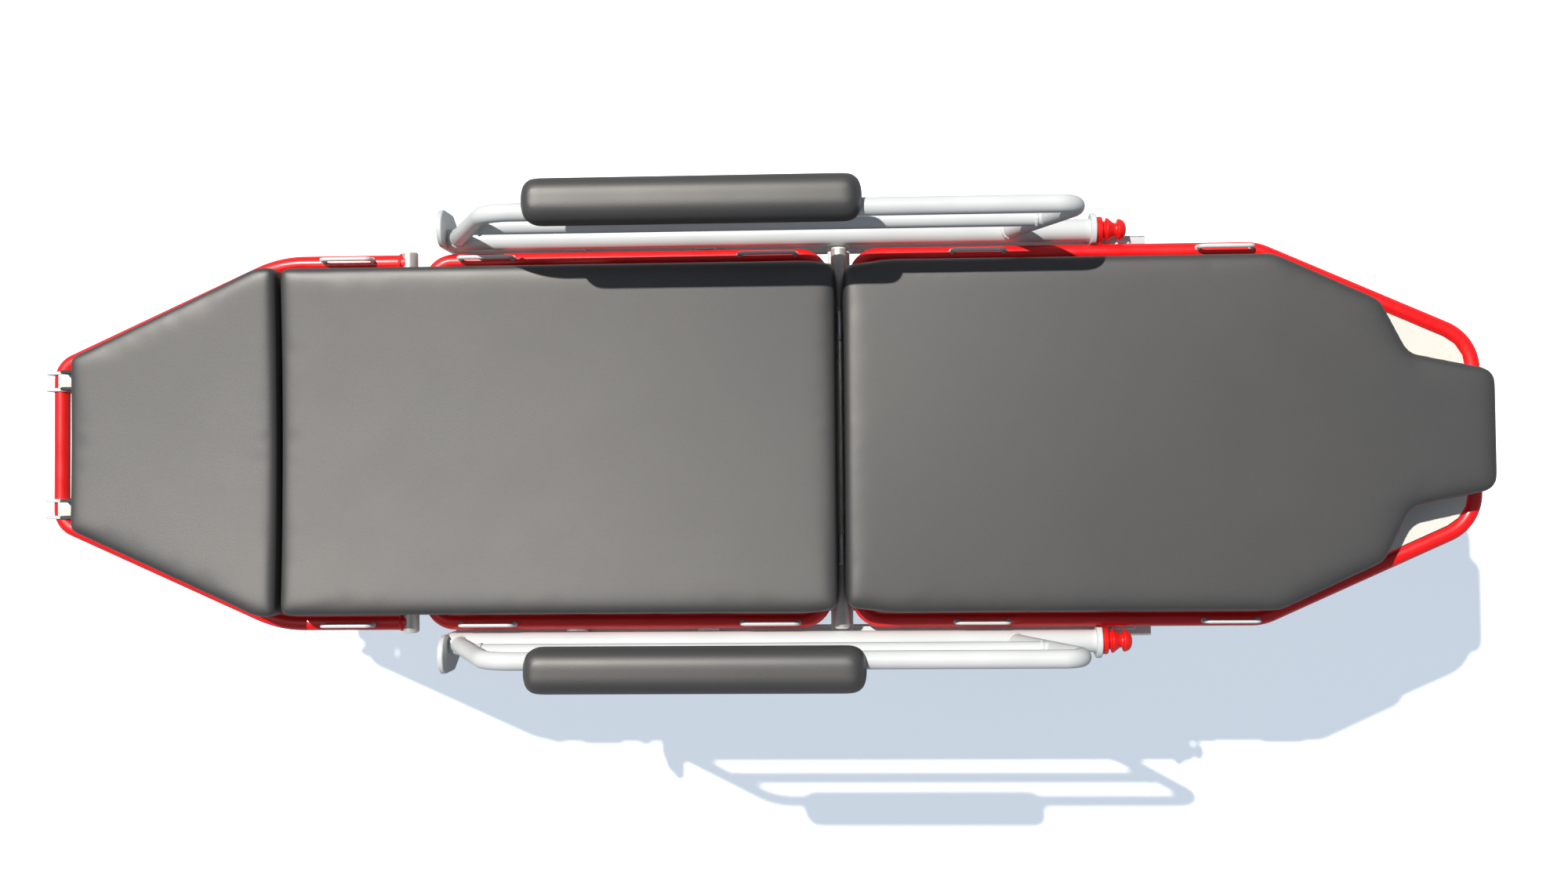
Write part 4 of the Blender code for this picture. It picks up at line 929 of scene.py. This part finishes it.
def inflate(obj, pressure, cap):
    """Blows the pad up with a cloth simulation, and limits how far each point moves."""
    cloth = obj.modifiers.new("swell", "CLOTH")
    settings = cloth.settings
    settings.quality = 4
    settings.mass = 0.35
    settings.tension_stiffness = 15
    settings.compression_stiffness = 15
    settings.shear_stiffness = 10
    settings.bending_stiffness = 6
    settings.use_pressure = True
    settings.uniform_pressure_force = pressure
    settings.effector_weights.gravity = 0
    cloth.point_cache.frame_start = 1
    cloth.point_cache.frame_end = CLOTH_FRAMES
    for number in range(1, CLOTH_FRAMES + 1):
        SCENE.frame_set(number)
    evaluated = obj.evaluated_get(bpy.context.evaluated_depsgraph_get())
    moved = [v.co.copy() for v in evaluated.data.vertices]
    obj.modifiers.clear()
    SCENE.frame_set(1)
    for vertex, end in zip(obj.data.vertices, moved):
        shift = end - vertex.co
        if shift.length > 1e-9:
            shift *= min(1.0, cap / shift.length)
        vertex.co += shift


def smoothed(obj, rounds):
    """The object smoothed, and subdivided once."""
    smooth = obj.modifiers.new("smooth", "SMOOTH")
    smooth.factor = 0.5
    smooth.iterations = rounds
    subdivision = obj.modifiers.new("finer", "SUBSURF")
    subdivision.levels = subdivision.render_levels = 1
    return applied(obj)


def fit(obj, low, high):
    """Stretches the mesh to a box."""
    lo = Vector(map(min, *(v.co for v in obj.data.vertices)))
    hi = Vector(map(max, *(v.co for v in obj.data.vertices)))
    for vertex in obj.data.vertices:
        vertex.co = Vector(low[k] + (vertex.co[k] - lo[k]) * (high[k] - low[k]) / (hi[k] - lo[k])
                           for k in range(3))


def soft_piece(obj, body, replaced):
    obj.data.shade_smooth()
    finished(obj, body, "cushion_vinyl", replaced)


def cushion(name, half_outline, body, replaced, low, high, hollow):
    """A foam pad in a taut cover: flat below, with soft rounded edges. Its top is lower along the middle
    by the hollow."""
    outline = mirrored_outline(half_outline)
    line = rounded([(x, y, 0, r) for x, y, r in outline], closed=True, step=math.radians(9))
    work = bmesh.new()
    face = work.faces.new([work.verts.new((p.x, p.y, low[2] + 0.002)) for p in line])
    made = bmesh.ops.extrude_face_region(work, geom=[face])
    top = [v for v in made["geom"] if isinstance(v, bmesh.types.BMVert)]
    bmesh.ops.translate(work, vec=(0, 0, high[2] - low[2] - 0.005), verts=top)
    bmesh.ops.recalc_face_normals(work, faces=work.faces)
    obj = as_object(name, work)
    bevel = obj.modifiers.new("edge", "BEVEL")
    bevel.width = PAD_EDGE_R
    bevel.segments = 4
    bevel.limit_method = "ANGLE"
    bevel.angle_limit = math.radians(60)
    voxels(obj, size=0.005)
    inflate(obj, pressure=4.0, cap=0.0015)
    for vertex in obj.data.vertices:
        vertex.co.z = max(vertex.co.z, low[2])
    smoothed(obj, rounds=10)
    fit(obj, low, high)
    for vertex in obj.data.vertices:
        height = (vertex.co.z - low[2]) / (high[2] - low[2])
        vertex.co.z -= hollow * height * (1 - min(1.0, (vertex.co.y / PAD_HALF) ** 2))
    soft_piece(obj, body, replaced)
    return obj


def cushions():
    head = [(HEAD_PAD_X[0], 0.1155, 0.010), (-0.650, PAD_HALF, 0.045), (HEAD_PAD_X[1], PAD_HALF - 0.002, 0.008)]
    back = [(BACK_PAD_X[0], PAD_HALF, 0.010), (0.080, PAD_HALF, 0.200), (BACK_PAD_X[1], PAD_HALF - 0.004, 0.012)]
    leg = [(LEG_PAD_X[0], PAD_HALF - 0.008, 0.012), (0.185, PAD_HALF, 0.200), (0.6845, PAD_HALF, 0.040),
           (0.818, 0.170, 0.025), (0.853, 0.101, 0.022), (LEG_PAD_X[1], 0.077, 0.020)]
    low_z, high_z = PAD_Z[0] + 0.0004, PAD_Z[1] + 0.0008
    for name, outline, x, body, replaced, hollow in (
            ("head_cushion", head, HEAD_PAD_X, "back_section", ("head_pad",), PAD_HOLLOW),
            ("back_cushion", back, BACK_PAD_X, "back_section", ("back_pad",), PAD_HOLLOW),
            ("leg_cushion", leg, LEG_PAD_X, "chassis", ("leg_pad", "leg_pad_edge"), 0.0)):
        obj = cushion(name, outline, body, replaced, (x[0], -PAD_HALF, low_z), (x[1], PAD_HALF, high_z), hollow)
        if name == "leg_cushion":
            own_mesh(obj)


def armrest(name, side):
    """A foam sleeve over the top tube, in the cushions' vinyl, with a squared section."""
    start, end = ARMREST_X
    radius = ARMREST_R - 0.002
    cap = ARMREST_CAP_R
    bends = [math.pi / 12 * number for number in range(7)]
    tip = [(radius - cap + cap * math.sin(a), cap * (1 - math.cos(a))) for a in bends]
    profile = [(0, start), *((r, start + h) for r, h in tip), *((r, end - h) for r, h in reversed(tip)), (0, end)]
    shape = Shape().turned(profile, (0, side * ARMREST_Y, ARMREST_Z), "X", 32)
    bmesh.ops.recalc_face_normals(shape.work, faces=shape.work.faces)
    obj = as_object(f"{name}_arm_pad", shape.work)
    voxels(obj, size=0.004)
    inflate(obj, pressure=3.0, cap=0.004)
    smoothed(obj, rounds=10)
    y, z, r = side * ARMREST_Y, ARMREST_Z, ARMREST_R
    fit(obj, (start, y - r, z - r), (end, y + r, z + r))
    for vertex in obj.data.vertices:
        across, up = vertex.co.y - y, vertex.co.z - z
        reach = math.hypot(across, up) or 1.0
        grow = (abs(across / reach) ** SQUARENESS + abs(up / reach) ** SQUARENESS) ** (-1 / SQUARENESS)
        vertex.co.y, vertex.co.z = y + across * grow, z + up * grow
    soft_piece(obj, f"{name}_rail", (f"{name}_armrest",))


# ---------------------------------------------------------------- building

head_frame()
back_frame()
leg_frame()
cross_tubes()
strap_loops()
for side_name, side_sign in SIDES.items():
    side_rail(side_name, side_sign)
    rail_fittings(side_name, side_sign)
    loader(side_name, side_sign)
    armrest(side_name, side_sign)
for end_name, end_sign in ENDS.items():
    for side_name, side_sign in SIDES.items():
        caster(f"{end_name}_{side_name}", end_sign * BASE_X, side_sign * CASTER_Y, end_name == "foot")
legs("outer_leg", OUTER_LEG_Y, (LEG_PIVOT_X, 0, BASE_AXIS_Z), (SLIDER_X, 0, CHASSIS_AXIS_Z), (0.258, 0.268),
     "outer_legs", "outer_leg_frame")
legs("inner_leg", INNER_LEG_Y, (LEG_PIVOT_X, 0, CHASSIS_AXIS_Z), (SLIDER_X, 0, BASE_AXIS_Z), (0.252, 0.268),
     "inner_legs", "inner_leg_frame", BEAM_Y[1] - WALL - GAP)
pivot_shaft()
chassis_rails()
base_frame()
cushions()


# ---------------------------------------------------------------- stage, light and camera


FLOOR_GLOW = 0.44
FLOOR_BOUNCE = (0.33, 0.34, 0.36, 1)
SKY_FILL = (0.18, 0.20, 0.24, 1)
SKY_SHOWN = (0.90, 0.91, 0.93, 1)
SUN_WAY = Vector((0.375, -0.413, -1.0))
WARM_WHITE = (1.0, 0.985, 0.955)


def floor():
    """A pale floor that the camera sees lit from within, and that reflects less light than it shows."""
    work = bmesh.new()
    bmesh.ops.create_grid(work, x_segments=1, y_segments=1, size=20)
    obj = as_object("floor", work)
    look = Look("pale_floor", (0.90, 0.90, 0.90), 0.9, Emission_Strength=FLOOR_GLOW,
                Emission_Color=(0.92, 1.06, 1.22, 1), Specular_IOR_Level=0.0)
    dim = look.node("ShaderNodeBsdfDiffuse")
    dim.inputs["Color"].default_value = FLOOR_BOUNCE
    ray = look.node("ShaderNodeLightPath")
    mix = look.node("ShaderNodeMixShader")
    look.link(ray.outputs["Is Camera Ray"], mix.inputs["Fac"])
    look.link(dim.outputs["BSDF"], mix.inputs[1])
    look.link(look.shader.outputs["BSDF"], mix.inputs[2])
    look.link(mix.outputs["Shader"], look.tree.nodes["Material Output"].inputs["Surface"])
    obj.data.materials.append(look.material)


def sky():
    world = bpy.data.worlds.new("studio")
    SCENE.world = world
    world.use_nodes = True
    nodes, links = world.node_tree.nodes, world.node_tree.links
    fill = nodes["Background"]
    fill.inputs["Color"].default_value = SKY_FILL
    shown = nodes.new("ShaderNodeBackground")
    shown.inputs["Color"].default_value = SKY_SHOWN
    ray = nodes.new("ShaderNodeLightPath")
    mix = nodes.new("ShaderNodeMixShader")
    links.new(ray.outputs["Is Camera Ray"], mix.inputs["Fac"])
    links.new(fill.outputs["Background"], mix.inputs[1])
    links.new(shown.outputs["Background"], mix.inputs[2])
    links.new(mix.outputs["Shader"], nodes["World Output"].inputs["Surface"])


def lamp(name, kind, energy, colour, place, target, **settings):
    light = bpy.data.lights.new(name, kind)
    light.energy = energy
    light.color = colour
    for key, value in settings.items():
        setattr(light, key, value)
    obj = placed(name, light)
    obj.location = place
    obj.rotation_euler = (Vector(target) - Vector(place)).to_track_quat("-Z", "Y").to_euler()
    obj.visible_camera = False


floor()
sky()
lamp("sun", "SUN", energy=4.4, colour=WARM_WHITE, place=-3 * SUN_WAY, target=(0, 0, 0), angle=math.radians(0.9))
lamp("softbox", "AREA", energy=5, colour=WARM_WHITE, place=(-1.9, -0.45, 3.2), target=(-0.4, -0.1, 0.6),
     shape="DISK", size=1.6)

camera = placed("camera", bpy.data.cameras.new("camera"))
camera.data.sensor_width = 36
camera.data.lens = 35.0
camera.location = (0.1318, -0.0581, 2.6841)
camera.rotation_euler = (0.0258124, 0.0422392, -0.0092051)
SCENE.camera = camera
SCENE.view_settings.view_transform = "Standard"
